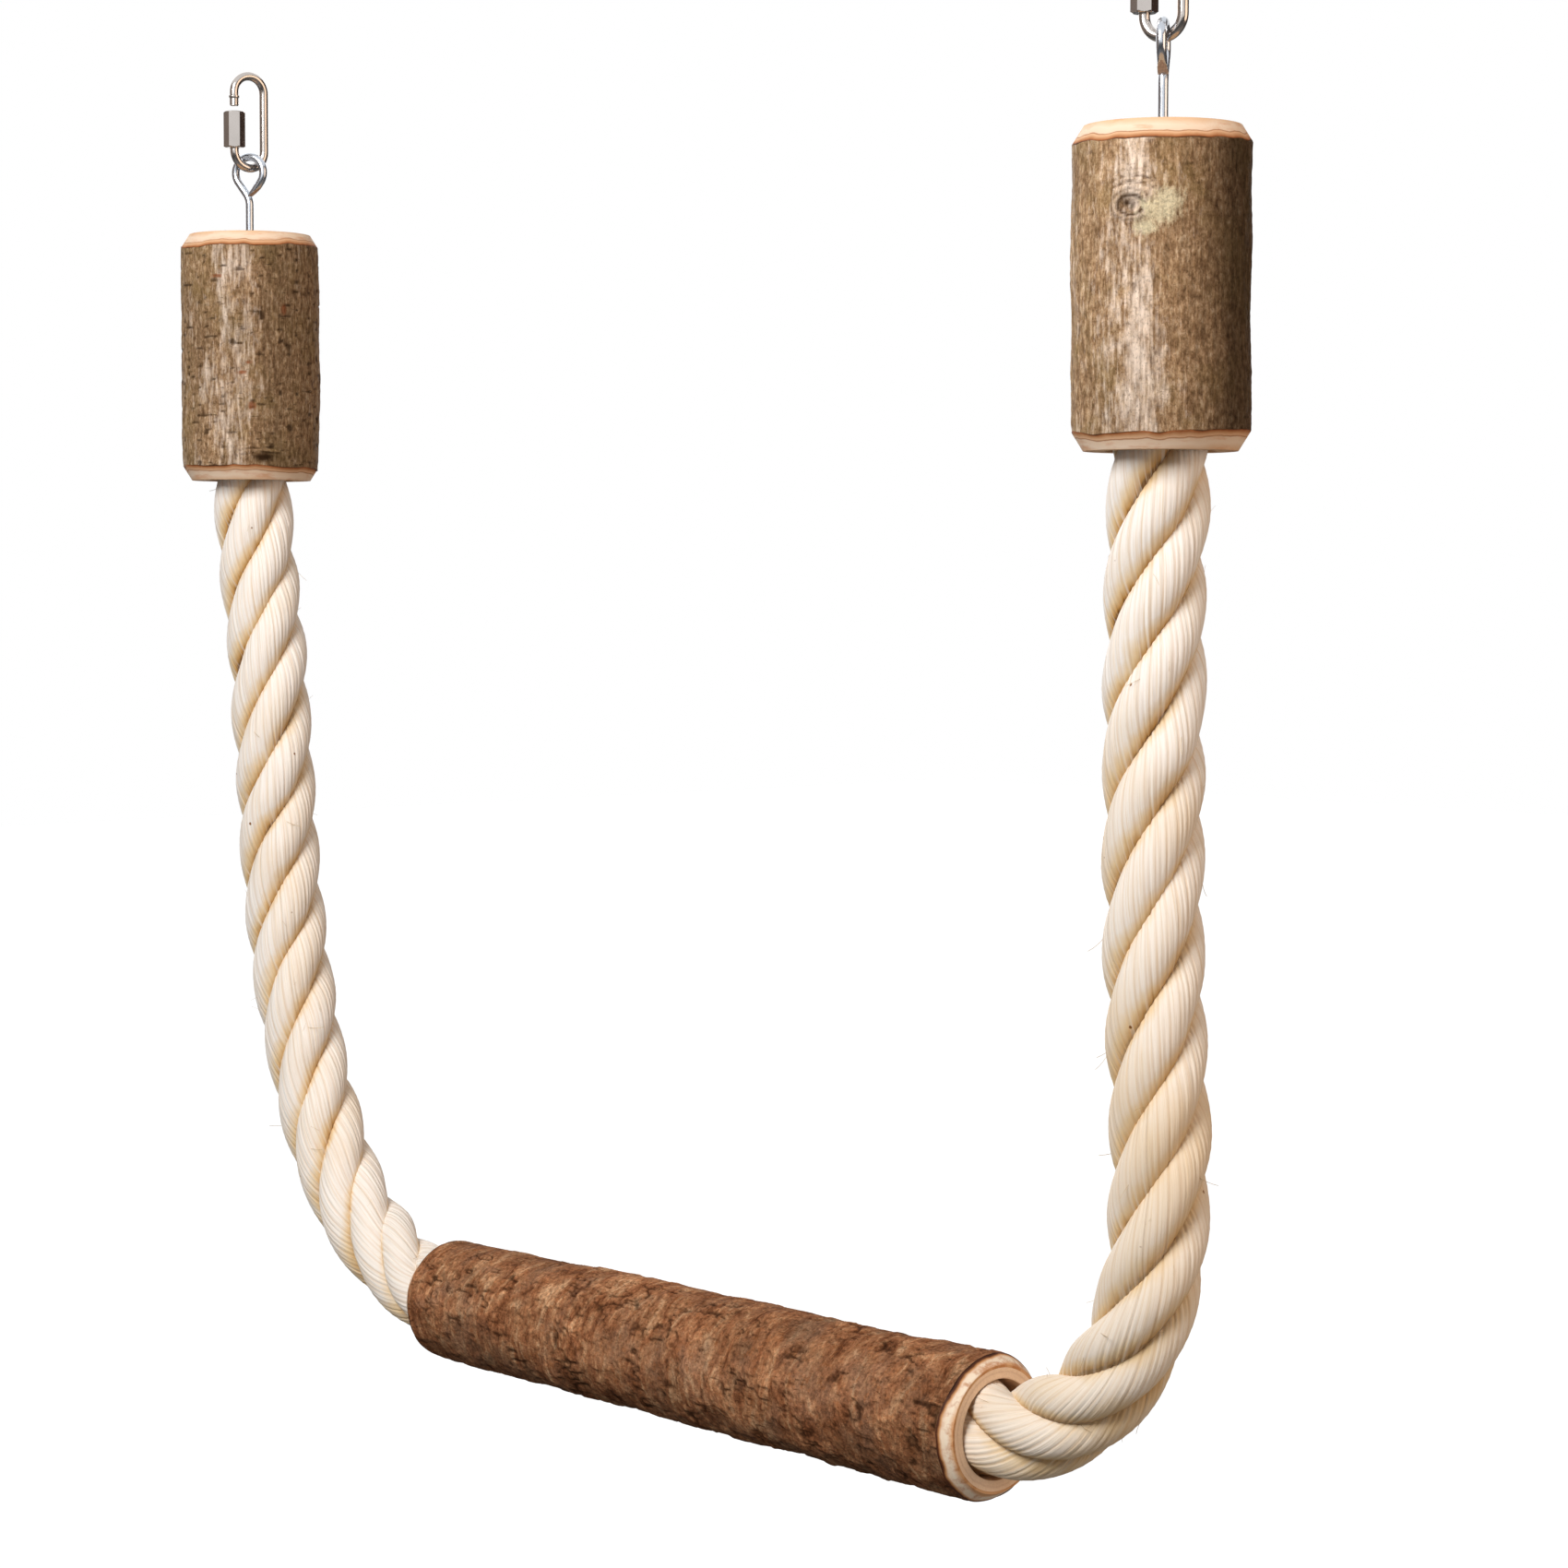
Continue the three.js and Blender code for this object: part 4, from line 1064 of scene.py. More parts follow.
def perch_bark(theta, height):
    """The perch's rough bark, in millimetres: bulges, ripples round the log, sharp-edged flakes and cracks."""
    u, v = theta / TURN, height / PERCH_LENGTH
    bulge = 0.4 * lattice(u, v, 4, 5, 5) + 0.25 * lattice(u, v, 7, 14, 6)
    ripple = 0.14 * lattice(u, v, 8, 30, 7) + 0.1 * lattice(u, v, 17, 62, 8)
    under = bell((u - 0.66) / 0.16)
    rough = np.clip(0.2 + 0.35 * v + 0.5 * lattice(u, v, 5, 9, 13) + 0.5 * under, 0, 1)
    flake = flakes(u, v)
    # Dark lines at the flakes' edges, strongest on one side of each step round the log: partly cracks, partly
    # painted shadow under the lifted edge
    lifted = np.clip((flakes(u - 0.004, v) - flakes(u + 0.004, v)) / 0.3, 0.12, 1)
    out = bulge + ripple
    crack = np.zeros_like(out)
    for step in (-0.55, 0.05, 0.6):
        rise = np.clip((flake - step) / 0.1, -1, 1)
        out = out + 0.22 * rise * (0.35 + 0.65 * rough)
        edge = np.clip(1.2 - np.abs(flake - step + 0.12) / 0.15, 0, 1)
        crack = np.maximum(crack, 0.85 * rough * lifted * edge)
    split = lattice(u, v, 36, 26, 23) + 0.5 * lattice(u, v, 76, 70, 24)
    where = np.clip(lattice(u, v, 16, 34, 25) * 3 - 0.3, 0, 1)
    gap = np.clip(1.2 - np.abs(split) / 0.15, 0, 1) * where
    grain = 0.1 * lattice(u, v, 110, 240, 14)
    return out - 0.5 * gap + grain, np.maximum(crack, 0.8 * gap)


def perch_bark_finish():
    """Rough flaking bark, dried: red-brown flakes, tan bands round the log, dark cracks along it, dull."""
    material, node, surface = new_finish("dried_flaking_bark")
    place = node("ShaderNodeTexCoord").outputs["Object"]
    relief, crack = (node("ShaderNodeAttribute", attribute_name=label) for label in ("relief", "crack"))

    # Bands 6 mm wide that run round the log
    banded = node("ShaderNodeMapping", {"Vector": place, "Scale": (1, 0.42, 0.42)})
    band = node(
        "ShaderNodeTexNoise",
        {"Vector": banded, "Scale": per_size(6), "Detail": 7, "Roughness": 0.66, "Distortion": 0.9})
    ground = node(
        "ShaderNodeValToRGB", {"Fac": band},
        stops=((0.34, "#6A3E25"), (0.45, "#9A6443"), (0.55, "#B37E58"), (0.64, "#CE9F77"), (0.73, "#E0B890")))
    dry = node("ShaderNodeTexNoise", {"Vector": place, "Scale": per_size(15), "Detail": 5, "Roughness": 0.65})
    dried = overlay(node, ground, dry, (0.47, 0.66), (0, 0.6), "#967259")

    # Red-brown chips 3 mm across, then a fine uneven tone
    chip = node("ShaderNodeTexNoise", {"Vector": place, "Scale": per_size(3), "Detail": 4, "Roughness": 0.6})
    chipped = overlay(node, dried, chip, (0.56, 0.66), (0, 0.6), "#9E643E")
    fleck = node("ShaderNodeTexNoise", {"Vector": place, "Scale": per_size(1.3), "Detail": 5, "Roughness": 0.72})
    flecked = toned(node, chipped, fleck, (0.34, 0.68), (0.5, 1.46))

    # Short dark cracks along the log
    lengthwise = node("ShaderNodeMapping", {"Vector": place, "Scale": (0.3, 1, 1)})
    dash = node(
        "ShaderNodeTexNoise",
        {"Vector": lengthwise, "Scale": per_size(1.7), "Detail": 3, "Roughness": 0.6, "Distortion": 0.8})
    dash_share = node("ShaderNodeMapRange", {"Value": dash, 1: 0.62, 2: 0.7, 3: 0.0, 4: 0.6})
    dark = node("ShaderNodeMath", {0: dash_share, 1: crack}, operation="MAXIMUM")
    cracked = node("ShaderNodeMix", {0: dark, 6: flecked, 7: "#331A0D"}, data_type="RGBA")

    # Hollows are darker, and painted shade darkens the log towards its underside
    pitted = toned(node, cracked, relief, (-1, 1), (0.6, 1.28))
    rise = node("ShaderNodeSeparateXYZ", {"Vector": place}).outputs["Z"]
    underside_shaded = toned(node, pitted, rise, ((PERCH_Z - 24) * MM, (PERCH_Z + 2) * MM), (0.55, 1))
    height = node("ShaderNodeMath", {0: band, 1: 0.8, 2: fleck}, operation="MULTIPLY_ADD")
    bump = node("ShaderNodeBump", {"Strength": 0.8, "Distance": 0.001, "Height": height})
    surface({"Base Color": underside_shaded, "Normal": bump, "Roughness": 0.8, "Specular IOR Level": 0.02})
    return material


class SWING_OT_perch(bpy.types.Operator):
    """Makes the bored log perch with its rough bark and chamfered ends"""

    bl_idname = "swing.perch"
    bl_label = "Log perch"

    LEFT_RADIUS, RIGHT_RADIUS = 22.2, 24.2
    CHAMFER = (5, 3.3)
    MESH_SIZE = (220, 330)
    TEAR_SEED = 91
    BORE_RADIUS, BORE_SHARES = 16.5, (0.95, 0.8, 0.5, 0.2, 0.05)
    LEFT_RINGS, RIGHT_RINGS = (18,), (20, 18)

    def execute(self, context):
        wood = sawn_wood_finish(
            "sawn_sapwood_of_the_perch", context.scene.swing_logs.perch_wood,
            ((0.0, "#2A150A"), (0.1, "#5A2E16"), (0.18, "#C98F5C"), (0.27, "#F3DBC0"), (0.48, "#F5E2CA"),
             (0.7, "#DDA878")),
            stain_colour="#C07C48", stain_size=3.0, stain_reach=(0.46, 0.58), stain_stretch=(0.6, 0.6, 0.6))
        shape = LogShape(
            PERCH_LENGTH, (self.LEFT_RADIUS, self.RIGHT_RADIUS), perch_bark, self.CHAMFER, self.MESH_SIZE,
            self.TEAR_SEED)
        for radius in (self.BORE_RADIUS, *self.LEFT_RINGS):
            shape.row(0, radius)
        shape.side()
        for radius in (*self.RIGHT_RINGS, self.BORE_RADIUS):
            shape.row(PERCH_LENGTH, radius)
        for share in self.BORE_SHARES:
            shape.row(PERCH_LENGTH * share, self.BORE_RADIUS)
        perch = shape.piece("perch_bark_log", self.place, [perch_bark_finish(), wood], joined=True)
        seat(perch, "perch_log", "perch_wood", "perch_log")
        return {"FINISHED"}

    @staticmethod
    def place(points):
        """The log's own axis becomes X."""
        return np.column_stack([points[:, 2] + PERCH_LEFT, points[:, 0], points[:, 1] + PERCH_Z])


# Fittings


def steel_finish(name, colour, roughness):
    """Drawn steel, polished or plated: bright, with faint smears that soften the reflection here and there."""
    material, node, surface = new_finish(name)
    place = node("ShaderNodeTexCoord").outputs["Object"]
    smear = node("ShaderNodeTexNoise", {"Vector": place, "Scale": per_size(7), "Detail": 2, "Roughness": 0.5})
    rough = node(
        "ShaderNodeMapRange", {"Value": smear, 1: 0.35, 2: 0.7, 3: roughness * 0.9, 4: roughness * 1.25})
    tinted = toned(node, colour[:3], smear, (0.3, 0.75), (1, 0.9))
    surface({"Base Color": tinted, "Roughness": rough, "Metallic": 1.0})
    return material


def link_steel_finish(fittings):
    """Polished stainless steel, which the links share with their nuts: a warm grey mirror."""
    name = "polished_stainless_steel"
    return bpy.data.materials.get(name) or steel_finish(name, fittings.link_steel, 0.16)


def sheared_steel_finish():
    """Raw steel where the plated wire was sheared off: dull and brownish, with drag marks."""
    material, node, surface = new_finish("sheared_raw_steel")
    place = node("ShaderNodeTexCoord").outputs["Object"]
    drag = node("ShaderNodeMapping", {"Vector": place, "Scale": (1, 1, 0.3)})
    mark = node("ShaderNodeTexNoise", {"Vector": drag, "Scale": per_size(0.5), "Detail": 3})
    colour = node("ShaderNodeValToRGB", {"Fac": mark}, stops=((0.3, "#9C8474"), (0.7, "#C2AA98")))
    surface({"Base Color": colour, "Metallic": 0.2, "Roughness": 0.55})
    return material


def woven_tape_finish():
    """Cotton cloth tape, plain woven: a matt tan with threads 0.5 mm apart."""
    material, node, surface = new_finish("woven_cotton_tape")
    place = node("ShaderNodeTexCoord").outputs["Object"]
    thread = node("ShaderNodeTexWave", {"Vector": place, "Scale": per_size(0.5) / 20}, bands_direction="Z")
    tone = node("ShaderNodeValToRGB", {"Fac": thread}, stops=((0.2, "#A38C66"), (0.8, "#C2AC84")))
    bump = node("ShaderNodeBump", {"Strength": 0.4, "Distance": 0.0002, "Height": thread})
    surface({"Base Color": tone, "Normal": bump, "Roughness": 0.85})
    return material


def arc(centre_z, radius, start, stop, steps):
    """Points of an arc in the XZ plane, with its angles in degrees."""
    angles = np.radians(np.linspace(start, stop, steps))
    return np.column_stack([radius * np.cos(angles), centre_z + radius * np.sin(angles)])


def even(points, step):
    """The same line with points at even steps, and their lengths along it."""
    runs = np.concatenate([[0], np.cumsum(np.linalg.norm(np.diff(points, axis=0), axis=1))])
    lengths = np.linspace(0, runs[-1], max(2, round(runs[-1] / step)))
    return np.column_stack([np.interp(lengths, runs, points[:, i]) for i in (0, 1)]), lengths


def wire(line, lengths, radius, sides):
    """Points and faces of a wire along a line in the XZ plane. radius(lengths, angles) is its uneven radius."""
    tangent = np.gradient(line, axis=0)
    tangent /= np.linalg.norm(tangent, axis=1)[:, None]
    normal = np.column_stack([-tangent[:, 1], tangent[:, 0]])
    angles = np.arange(sides) / sides * TURN
    reach = radius(lengths[:, None], angles[None, :]) * np.ones((len(lengths), sides))
    x = line[:, 0, None] + reach * np.cos(angles) * normal[:, 0, None]
    y = reach * np.sin(angles)
    z = line[:, 1, None] + reach * np.cos(angles) * normal[:, 1, None]
    return np.stack([x, y, z], axis=-1).reshape(-1, 3), ring_faces(len(lengths), sides)


def turned_to(points, degrees, x):
    """Points turned about the upright axis and moved to their hanging place."""
    angle = math.radians(degrees)
    across = points[:, 0] * math.cos(angle) - points[:, 1] * math.sin(angle)
    back = points[:, 0] * math.sin(angle) + points[:, 1] * math.cos(angle)
    return np.column_stack([across + x, back, points[:, 2]])


def thread_wave(lengths, angles, pitch):
    """A screw thread's profile, from 0 in the root to 1 at the crest."""
    return 1 - np.abs(2 * ((lengths / pitch + angles / TURN) % 1) - 1)


class SWING_OT_links(bpy.types.Operator):
    """Makes the two screw-gate links of bent rod"""

    bl_idname = "swing.links"
    bl_label = "Links"

    STUB_INSET = 0.6
    GATE_OPENING = 2.0
    GATE_THREAD, THREAD_DEPTH, THREAD_SUNK, THREAD_SHORT = 3.5, 0.17, 0.02, 1
    COLLAR_RADIUS, COLLAR_LENGTH = 2.15, 0.7
    NOSE = 0.5
    STEP, SIDES, SHARP = 0.22, 28, 50

    def execute(self, context):
        fittings = context.scene.swing_fittings
        steel = link_steel_finish(fittings)
        points, faces = self.link(fittings)
        for side, x in PLACES.items():
            placed = turned_to(points, LINK_TURNS[side], x)
            link = new_piece(f"{side}_link_rod", placed, faces, [steel], self.SHARP)
            seat(link, "links", "link_steel", f"{side}_quick_link")
        return {"FINISHED"}

    def link(self, fittings):
        """The rod from the stub in the nut, round the link, to the thread above the gate."""
        rod = fittings.link_wire / MM / 2
        pitch = fittings.thread_pitch / MM
        half = LINK_HALF_WIDTH
        lower, upper = LINK_FOOT + rod + half, LINK_TOP - rod - half
        outline = np.concatenate([
            [(-half, NUT_TOP - self.STUB_INSET), (-half, lower + 0.01)],
            arc(lower, half, 180, 360, 40),
            arc(upper, half, 0, 180, 40),
            [(-half, NUT_TOP + self.GATE_OPENING)],
        ])
        line, lengths = even(outline, self.STEP)
        whole = lengths[-1]

        def radius(length, angle):
            from_stub, from_gate = length, whole - length
            thread = self.THREAD_DEPTH * thread_wave(length, angle, pitch)
            threaded = (from_stub < NUT_TOP - NUT_FOOT - self.THREAD_SHORT) | (from_gate < self.GATE_THREAD)
            collar_part = (from_gate > self.GATE_THREAD) & (from_gate < self.GATE_THREAD + self.COLLAR_LENGTH)
            reach = rod + np.where(threaded, thread - self.THREAD_SUNK, 0.0)
            reach = np.where(collar_part, self.COLLAR_RADIUS, reach)
            return reach - np.clip(self.NOSE - np.minimum(from_stub, from_gate), 0, self.NOSE)

        return wire(line, lengths, radius, self.SIDES)


class SWING_OT_nuts(bpy.types.Operator):
    """Makes the long hexagon nuts that close the links' gates"""

    bl_idname = "swing.nuts"
    bl_label = "Hexagon nuts"

    FLATS = 7.4
    FACE_SHARE, TURNED_SHARE = 0.86, 0.95
    BORE_PLAY = 0.25
    CORNER_SLOPE = math.tan(math.radians(32))
    CORNER_HEIGHTS = (0, 0.12, 0.25, 0.4, 0.55, 0.75, 1.0)
    AROUND, SHARP = 48, 25

    def execute(self, context):
        fittings = context.scene.swing_fittings
        steel = link_steel_finish(fittings)
        points, faces = self.nut(fittings.link_wire / MM / 2 + self.BORE_PLAY)
        for side, x in PLACES.items():
            placed = turned_to(points, LINK_TURNS[side], x)
            nut = new_piece(f"{side}_hexagon_nut", placed, faces, [steel], self.SHARP)
            seat(nut, f"{side}_nut", "link_steel", f"{side}_link_nut")
        return {"FINISHED"}

    def nut(self, bore):
        """A hexagon sleeve with its corners turned off at both ends."""
        flat, sixth = self.FLATS / 2, math.pi / 3
        angles = np.arange(self.AROUND) / self.AROUND * TURN
        hexagon = flat / np.cos((angles + sixth / 2) % sixth - sixth / 2)
        corners = [
            (np.minimum(hexagon, flat * self.TURNED_SHARE + h / self.CORNER_SLOPE), h)
            for h in self.CORNER_HEIGHTS]
        face = flat * self.FACE_SHARE
        rings = [
            (bore, NUT_FOOT), (face, NUT_FOOT), *((reach, NUT_FOOT + h) for reach, h in corners),
            *((reach, NUT_TOP - h) for reach, h in reversed(corners)), (face, NUT_TOP), (bore, NUT_TOP)]
        points = lathe(rings, self.AROUND) - (LINK_HALF_WIDTH, 0, 0)
        return points, ring_faces(len(rings), self.AROUND, joined=True)


class SWING_OT_eyes(bpy.types.Operator):
    """Makes the two eye screws, each of one bent wire with a sheared end"""

    bl_idname = "swing.eyes"
    bl_label = "Eye screws"

    OUTSIDE = 15.8
    NECK_ANGLE, NECK_BEND = 37, 2.6
    POINT, BLUNT = 5, 0.05
    WOOD_THREAD, WOOD_PITCH, ROOT_DEPTH, CREST_RISE = 20, 2.0, 0.2, 0.25
    ARM_END = 0.9
    SHEAR_START, SHEAR_STOP, SHEAR_ROOM = -2.3, 7.1, 3
    STEP, SIDES, SHARP = 0.4, 24, 35

    def execute(self, context):
        fittings = context.scene.swing_fittings
        zinc = steel_finish("bright_zinc_plate", fittings.zinc, 0.2)
        sheared = sheared_steel_finish()
        points, faces, cut = self.eye(fittings.eye_wire / MM / 2)
        for side, x in PLACES.items():
            placed = turned_to(points, EYE_TURNS[side], x)
            eye = new_piece(f"{side}_eye_wire", placed, faces, [zinc, sheared], self.SHARP, cut)
            seat(eye, f"{side}_end", "zinc_steel", f"{side}_eye_screw")
        return {"FINISHED"}

    def eye(self, half):
        """The wire from its point in the wood, up round the eye, to the sheared end at the neck."""
        loop = self.OUTSIDE / 2 - half
        centre = EYE_TOP - self.OUTSIDE / 2
        slant = math.radians(self.NECK_ANGLE)
        neck, bend = centre - loop / math.sin(slant), self.NECK_BEND
        smooth = [
            (t * t * -bend * math.sin(slant),
             (1 - t) ** 2 * (neck - bend) + 2 * t * (1 - t) * neck + t * t * (neck + bend * math.cos(slant)))
            for t in np.linspace(0, 1, 9)
        ]
        end = (self.ARM_END * math.sin(slant), neck + self.ARM_END * math.cos(slant))
        outline = np.concatenate([
            [(0, EYE_POINT)], smooth, arc(centre, loop, 180 + self.NECK_ANGLE, -self.NECK_ANGLE, 60), [end]])
        line, lengths = even(outline, self.STEP)

        def radius(length, angle):
            thread = self.CREST_RISE * (thread_wave(length, angle, self.WOOD_PITCH) ** 3)
            reach = half - self.ROOT_DEPTH + np.where(length < self.WOOD_THREAD, thread, self.ROOT_DEPTH)
            return reach * np.clip(length / self.POINT + self.BLUNT, 0, 1)

        points, faces = wire(line, lengths, radius, self.SIDES)

        # The wire's end is trimmed along a slanting plane
        arm = np.array([math.sin(slant), math.cos(slant)])
        outward = np.array([math.cos(slant), -math.sin(slant)])
        from_neck = points[:, [0, 2]] - (0, neck)
        down_arm, off_arm = from_neck @ arm, from_neck @ outward
        late = np.repeat(lengths, self.SIDES) > lengths[-1] - self.SHEAR_STOP - self.SHEAR_ROOM
        slope = 2 * half / (self.SHEAR_STOP - self.SHEAR_START)
        limit = -half + (down_arm - self.SHEAR_START) * slope
        over = np.where(late, off_arm - limit, 0)
        trimmed = over > 0
        points[:, [0, 2]] -= np.where(trimmed, over, 0)[:, None] * outward
        return points, faces, [int(all(trimmed[i] for i in face)) for face in faces]


class SWING_OT_cap_screws(bpy.types.Operator):
    """Makes the screws at the back of the caps that hold the rope's ends"""

    bl_idname = "swing.cap_screws"
    bl_label = "Cap screws"

    LENGTH, SUNK = 28, 0.6
    SHANK, ROOT, NECK, HEAD = 1.75, 1.3, 1.45, 3.5
    HALF_PITCH = 0.55
    CROSS_REACH, CROSS_HALF, CROSS_DEPTH, CROSS_TAPER = 1.9, 0.45, 1.2, 0.6
    AROUND, SHARP = 32, 30

    def execute(self, context):
        zinc = steel_finish("zinc_plated_screw", context.scene.swing_fittings.zinc, 0.28)
        for side, x in PLACES.items():
            head = (x, CAP_FOOT_RADIUS - self.SUNK, CAP_FOOT + CAP_SCREW_RISE)
            screw = self.screw(f"{side}_retaining_screw", head, zinc)
            seat(screw, f"{side}_end", "zinc_steel", f"{side}_cap_screw")
        return {"FINISHED"}

    def screw(self, name, head, zinc):
        """A countersunk screw with a cross recess, from its head's place inwards."""
        turns = np.arange(-self.LENGTH + 4, -6, self.HALF_PITCH)
        profile = [
            (0.05, -self.LENGTH), (0.9, -self.LENGTH + 2.5),
            *((self.SHANK if i % 2 else self.ROOT, at) for i, at in enumerate(turns)),
            (self.NECK, -5.5), (self.NECK, -2), (self.HEAD - 0.1, -0.15), (self.HEAD, -0.05),
            (self.HEAD - 0.15, 0), (2.6, 0)]
        points = lathe(profile, self.AROUND)[:, [0, 2, 1]] + head
        screw = new_piece(name, points, ring_faces(len(profile), self.AROUND), [zinc])
        reach, half = self.CROSS_REACH, self.CROSS_HALF
        cross = [(reach, half), (half, half), (half, reach), (-half, reach), (-half, half), (-reach, half),
                 (-reach, -half), (-half, -half), (-half, -reach), (half, -reach), (half, -half), (reach, -half)]
        top = [(a, 0.5, b) for a, b in cross]
        floor = [(a * self.CROSS_TAPER, -self.CROSS_DEPTH, b * self.CROSS_TAPER) for a, b in cross]
        cutter = new_piece("cross_recess", np.array(top + floor) + head, ring_faces(2, len(cross)), [])
        modifier = screw.modifiers.new("recess", "BOOLEAN")
        modifier.operation = "DIFFERENCE"
        modifier.object = cutter
        finished = evaluated_mesh(screw)
        screw.modifiers.remove(modifier)
        screw.data = finished
        bpy.data.objects.remove(cutter)
        finished.set_sharp_from_angle(angle=math.radians(self.SHARP))
        return screw


class SWING_OT_bindings(bpy.types.Operator):
    """Makes the bindings of cloth tape, wound round the rope's cut ends with each wrap over the one before"""

    bl_idname = "swing.bindings"
    bl_label = "Rope bindings"

    INSIDE, WALL, LENGTH = 16.3, 0.4, 18
    WRAPS = 3
    AROUND, ROWS, SHARP = 72, 37, 40

    def execute(self, context):
        tape = woven_tape_finish()
        top = CAP_FOOT + CAP_BORE_DEPTH - ROPE_END_GAP
        angles = np.arange(self.AROUND) / self.AROUND * TURN
        rings = []
        for share in np.linspace(0, 1, self.ROWS):
            wrap = (share * self.WRAPS + angles / TURN) % 1
            rings.append((self.INSIDE + self.WALL * (0.7 + 0.3 * wrap), top - self.LENGTH * (1 - share)))
        rings += [(self.INSIDE, top), (self.INSIDE, top - self.LENGTH)]
        points, faces = lathe(rings, self.AROUND), ring_faces(len(rings), self.AROUND, joined=True)
        for side, x in PLACES.items():
            binding = new_piece(f"{side}_wound_tape", points + (x, 0, 0), faces, [tape], self.SHARP)
            seat(binding, f"{side}_end", "binding", f"{side}_rope_binding")
        return {"FINISHED"}


# Stage


class SWING_OT_stage(bpy.types.Operator):
    """Sets up the camera, the studio light, the floor and the white surround"""

    bl_idname = "swing.stage"
    bl_label = "Stage"

    CAMERA = (1.01064, -0.84249, -0.19804)
    SENSOR_WIDTH = 36
    AIM = Vector((0, 0, -0.27))
    FLOOR_REACH, FLOOR_GLOW = 12, 0.97
    # Glowing sheets beside the camera that only reflections show: painted reflections that give the steel its
    # dark lines
    WALLS = (("left_wall", -150, -45, "#8C8078"), ("right_wall", 25, 150, "#3C2D26"))
    WALL_RADIUS, WALL_FOOT, WALL_TOP, WALL_STEP = 3.4, -0.7, 2.4, 15

    def execute(self, context):
        scene = context.scene
        stage = scene.swing_stage
        azimuth, pitch, roll = stage.azimuth, stage.pitch, stage.roll
        flat = math.cos(pitch)
        forward = Vector((-math.sin(azimuth) * flat, math.cos(azimuth) * flat, -math.sin(pitch)))
        level = Vector((math.cos(azimuth), math.sin(azimuth), 0))
        upright = level.cross(forward)
        right = level * math.cos(roll) + upright * math.sin(roll)
        up = upright * math.cos(roll) - level * math.sin(roll)
        data = bpy.data.cameras.new("camera")
        data.lens = stage.lens
        data.sensor_width = self.SENSOR_WIDTH
        data.clip_start, data.clip_end = 0.05, 100
        scene.camera = add_object("camera", data)
        turn = Matrix((right, up, -forward)).transposed().to_4x4()
        scene.camera.matrix_world = Matrix.Translation(self.CAMERA) @ turn

        back = -forward
        for name, place, size, power, colour in (
            ("key_lamp", back * 1.1 - level * 0.7 + Vector((0, 0, 0.8)), 0.75, stage.key, "#FFFFFF"),
            ("fill_lamp", back * 0.9 + level * 1.6 + Vector((0, 0, 0.3)), 1.4, stage.fill, "#FFE3C8"),
            ("rear_lamp", Vector((0, 0, 0.5)) - back * 1.4 - level * 0.4, 1.4, stage.rear, "#FFFFFF"),
        ):
            light = bpy.data.lights.new(name, "AREA")
            light.size, light.energy, light.color = size, power, linear(colour)[:3]
            lamp = add_object(name, light)
            lamp.location = self.AIM + place
            lamp.rotation_mode = "QUATERNION"
            lamp.rotation_quaternion = (-place).to_track_quat("-Z", "Y")
        self.surround(scene, stage)
        self.floor(stage)
        for wall in self.WALLS:
            self.wall(back, *wall)
        scene.view_settings.view_transform = "Standard"
        return {"FINISHED"}

    @staticmethod
    def surround(scene, stage):
        """A white surround for the camera and for reflections, and a softer light from all round."""
        scene.world = bpy.data.worlds.new("white_studio")
        scene.world.use_nodes = True
        tree = scene.world.node_tree
        tree.nodes.clear()
        node = partial(add_node, tree)
        path = node("ShaderNodeLightPath").outputs
        seen = node("ShaderNodeMath", {0: path["Is Camera Ray"], 1: path["Is Glossy Ray"]}, operation="MAXIMUM")
        shown = node("ShaderNodeMath", {0: seen, 1: path["Is Transmission Ray"]}, operation="MAXIMUM")
        strength = node("ShaderNodeMapRange", {"Value": shown, 3: stage.ambient, 4: 1.0})
        light = node("ShaderNodeBackground", {"Color": "#FFFFFF", "Strength": strength})
        node("ShaderNodeOutputWorld", {"Surface": light})

    @staticmethod
    def sheet(name, corners, faces, material):
        """A plain sheet of the stage."""
        mesh = bpy.data.meshes.new(name)
        mesh.from_pydata([tuple(corner) for corner in corners], [], faces)
        mesh.materials.append(material)
        return add_object(name, mesh)

    def floor(self, stage):
        """A grey painted floor that keeps the swing's shadow and shows white to the camera elsewhere."""
        material, node, surface = new_finish("grey_painted_floor")
        seen = node("ShaderNodeLightPath").outputs["Is Camera Ray"]
        glow = node("ShaderNodeMath", {0: seen, 1: self.FLOOR_GLOW}, operation="MULTIPLY")
        surface({
            "Base Color": "#8C8C8C", "Roughness": 0.9, "Emission Color": "#FFFFFF", "Emission Strength": glow})
        level, reach = CAD_BOX[0].z - stage.floor_drop, self.FLOOR_REACH
        corners = [(-reach, -reach, level), (reach, -reach, level), (reach, reach, level), (-reach, reach, level)]
        self.sheet("floor", corners, [(0, 1, 2, 3)], material)

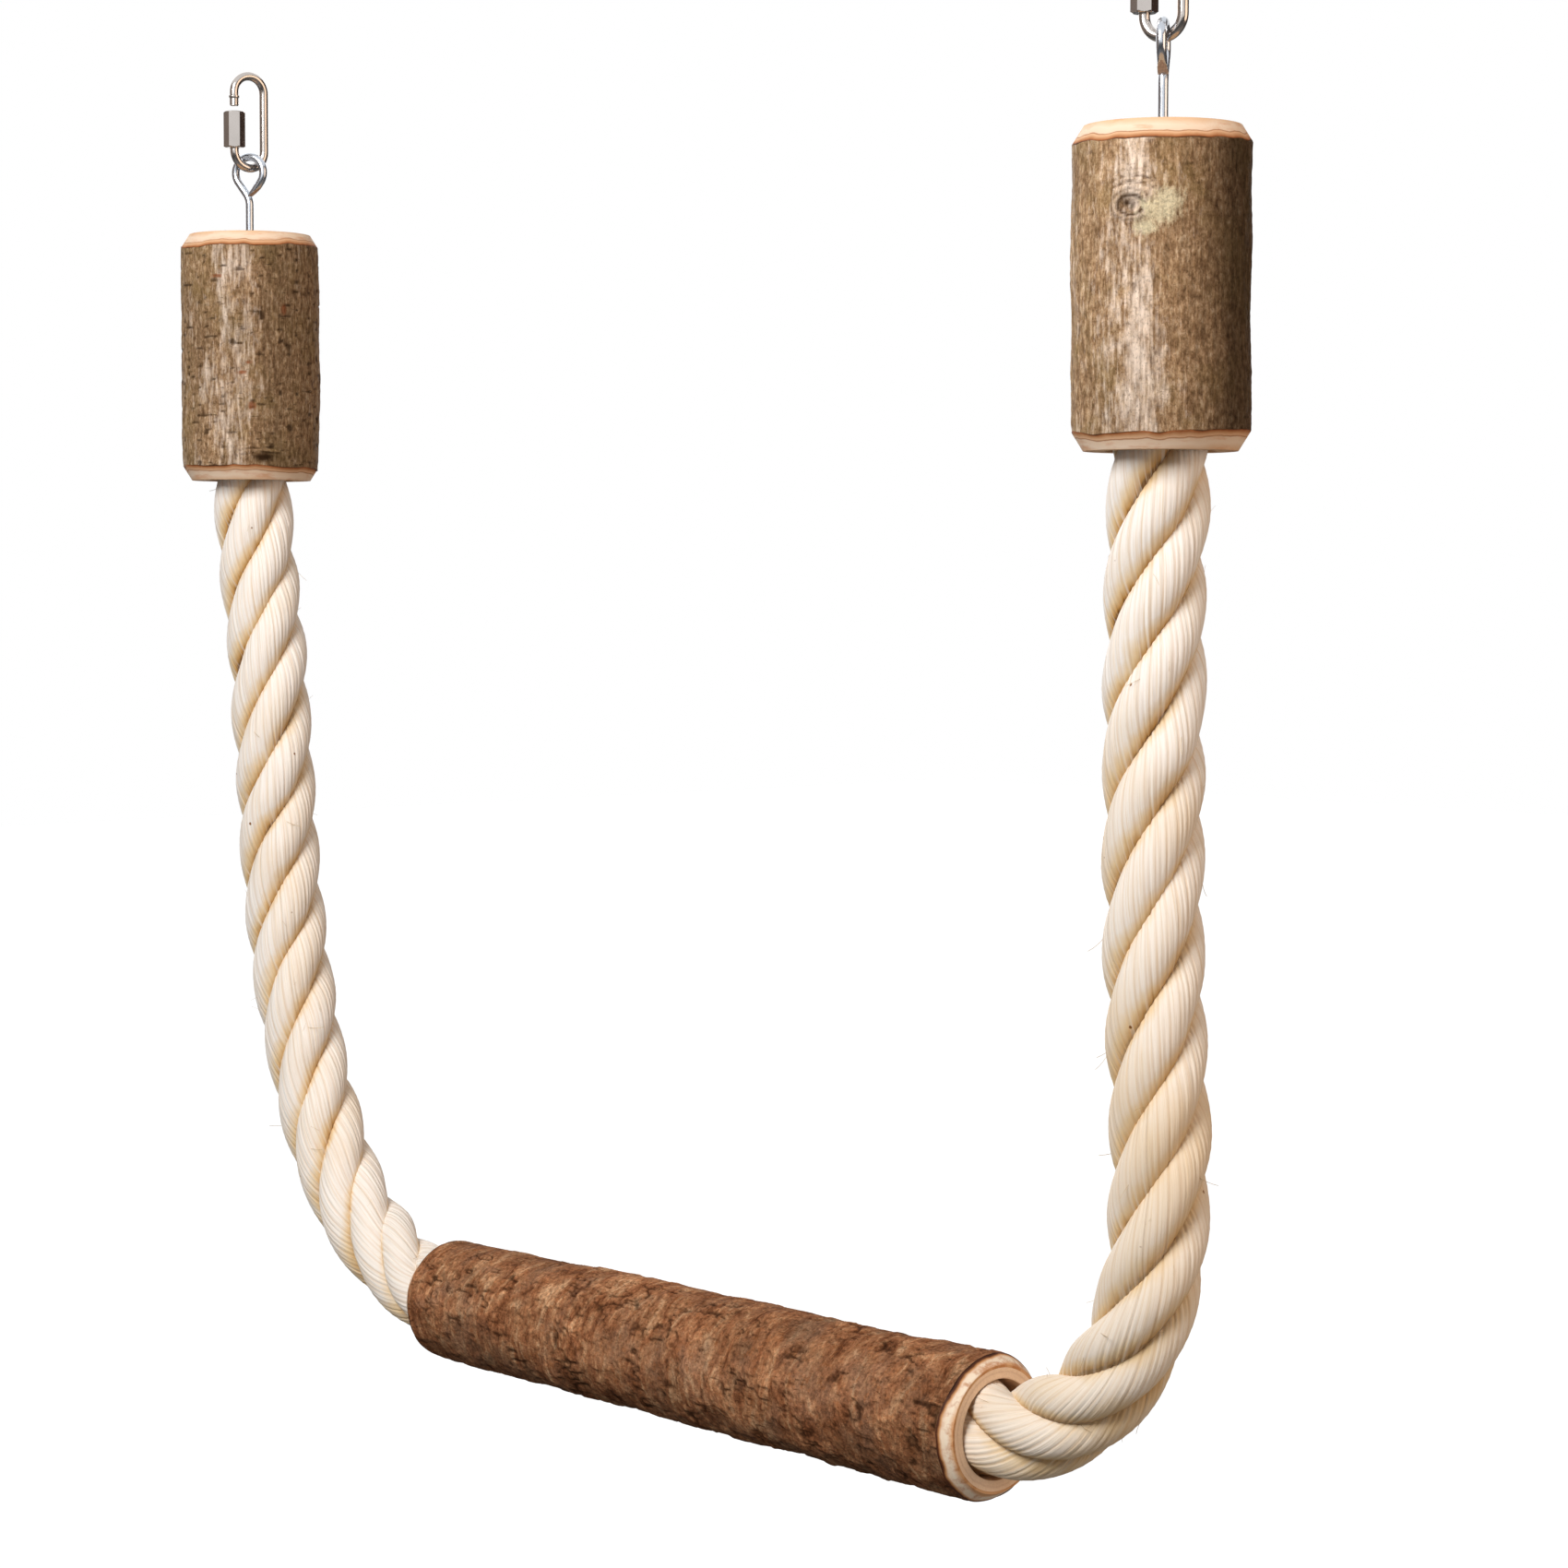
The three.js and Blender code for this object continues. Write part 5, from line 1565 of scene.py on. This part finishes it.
    def wall(self, back, name, first, last, colour):
        """A dim curved sheet that glows only in reflections: a painted reflection, which gives the steel its dark
        lines.
        """
        material, _, surface = new_finish(f"glowing_reflection_sheet_{name}")
        surface({"Base Color": "#000000", "Emission Color": colour, "Emission Strength": 1.0, "Roughness": 1.0})
        level = Vector((back.x, back.y, 0)).normalized()
        across = Vector((0, 0, 1)).cross(level)
        corners = []
        for degrees in range(first, last + 1, self.WALL_STEP):
            angle = math.radians(degrees)
            place = self.AIM + (level * math.cos(angle) + across * math.sin(angle)) * self.WALL_RADIUS
            corners += [place + Vector((0, 0, height)) for height in (self.WALL_FOOT, self.WALL_TOP)]
        faces = [(i, i + 2, i + 3, i + 1) for i in range(0, len(corners) - 2, 2)]
        wall = self.sheet(name, corners, faces, material)
        wall.visible_camera = wall.visible_diffuse = wall.visible_shadow = False


class SWING_PT_panel(bpy.types.Panel):
    """Lists what the swing is made of"""

    bl_idname = "SWING_PT_panel"
    bl_label = "Rope swing"
    bl_space_type = "VIEW_3D"
    bl_region_type = "UI"
    bl_category = "Rope Swing"

    def draw(self, context):
        for operator in OPERATORS:
            self.layout.operator(operator.bl_idname)
        for group in GROUPS:
            box = self.layout.box()
            settings = getattr(context.scene, group)
            for name in settings.__annotations__:
                box.prop(settings, name)


GROUPS = {
    "swing_rope": RopeProperties,
    "swing_logs": LogProperties,
    "swing_fittings": FittingProperties,
    "swing_stage": StageProperties,
}
OPERATORS = (
    SWING_OT_stage,
    SWING_OT_rope,
    SWING_OT_caps,
    SWING_OT_perch,
    SWING_OT_links,
    SWING_OT_nuts,
    SWING_OT_eyes,
    SWING_OT_cap_screws,
    SWING_OT_bindings,
)


def register():
    """Makes the settings, the operators and the panel known to Blender."""
    for name, group in GROUPS.items():
        bpy.utils.register_class(group)
        setattr(bpy.types.Scene, name, bpy.props.PointerProperty(type=group))
    for made in (*OPERATORS, SWING_PT_panel):
        bpy.utils.register_class(made)


def unregister():
    """Takes them away again."""
    for made in (SWING_PT_panel, *reversed(OPERATORS)):
        bpy.utils.unregister_class(made)
    for name, group in reversed(GROUPS.items()):
        delattr(bpy.types.Scene, name)
        bpy.utils.unregister_class(group)


def main():
    """Makes the whole swing."""
    register()
    bpy.ops.swing.stage()
    bpy.ops.swing.rope()
    bpy.ops.swing.caps()
    bpy.ops.swing.perch()
    bpy.ops.swing.links()
    bpy.ops.swing.nuts()
    bpy.ops.swing.eyes()
    bpy.ops.swing.cap_screws()
    bpy.ops.swing.bindings()


if __name__ == "__main__":
    main()
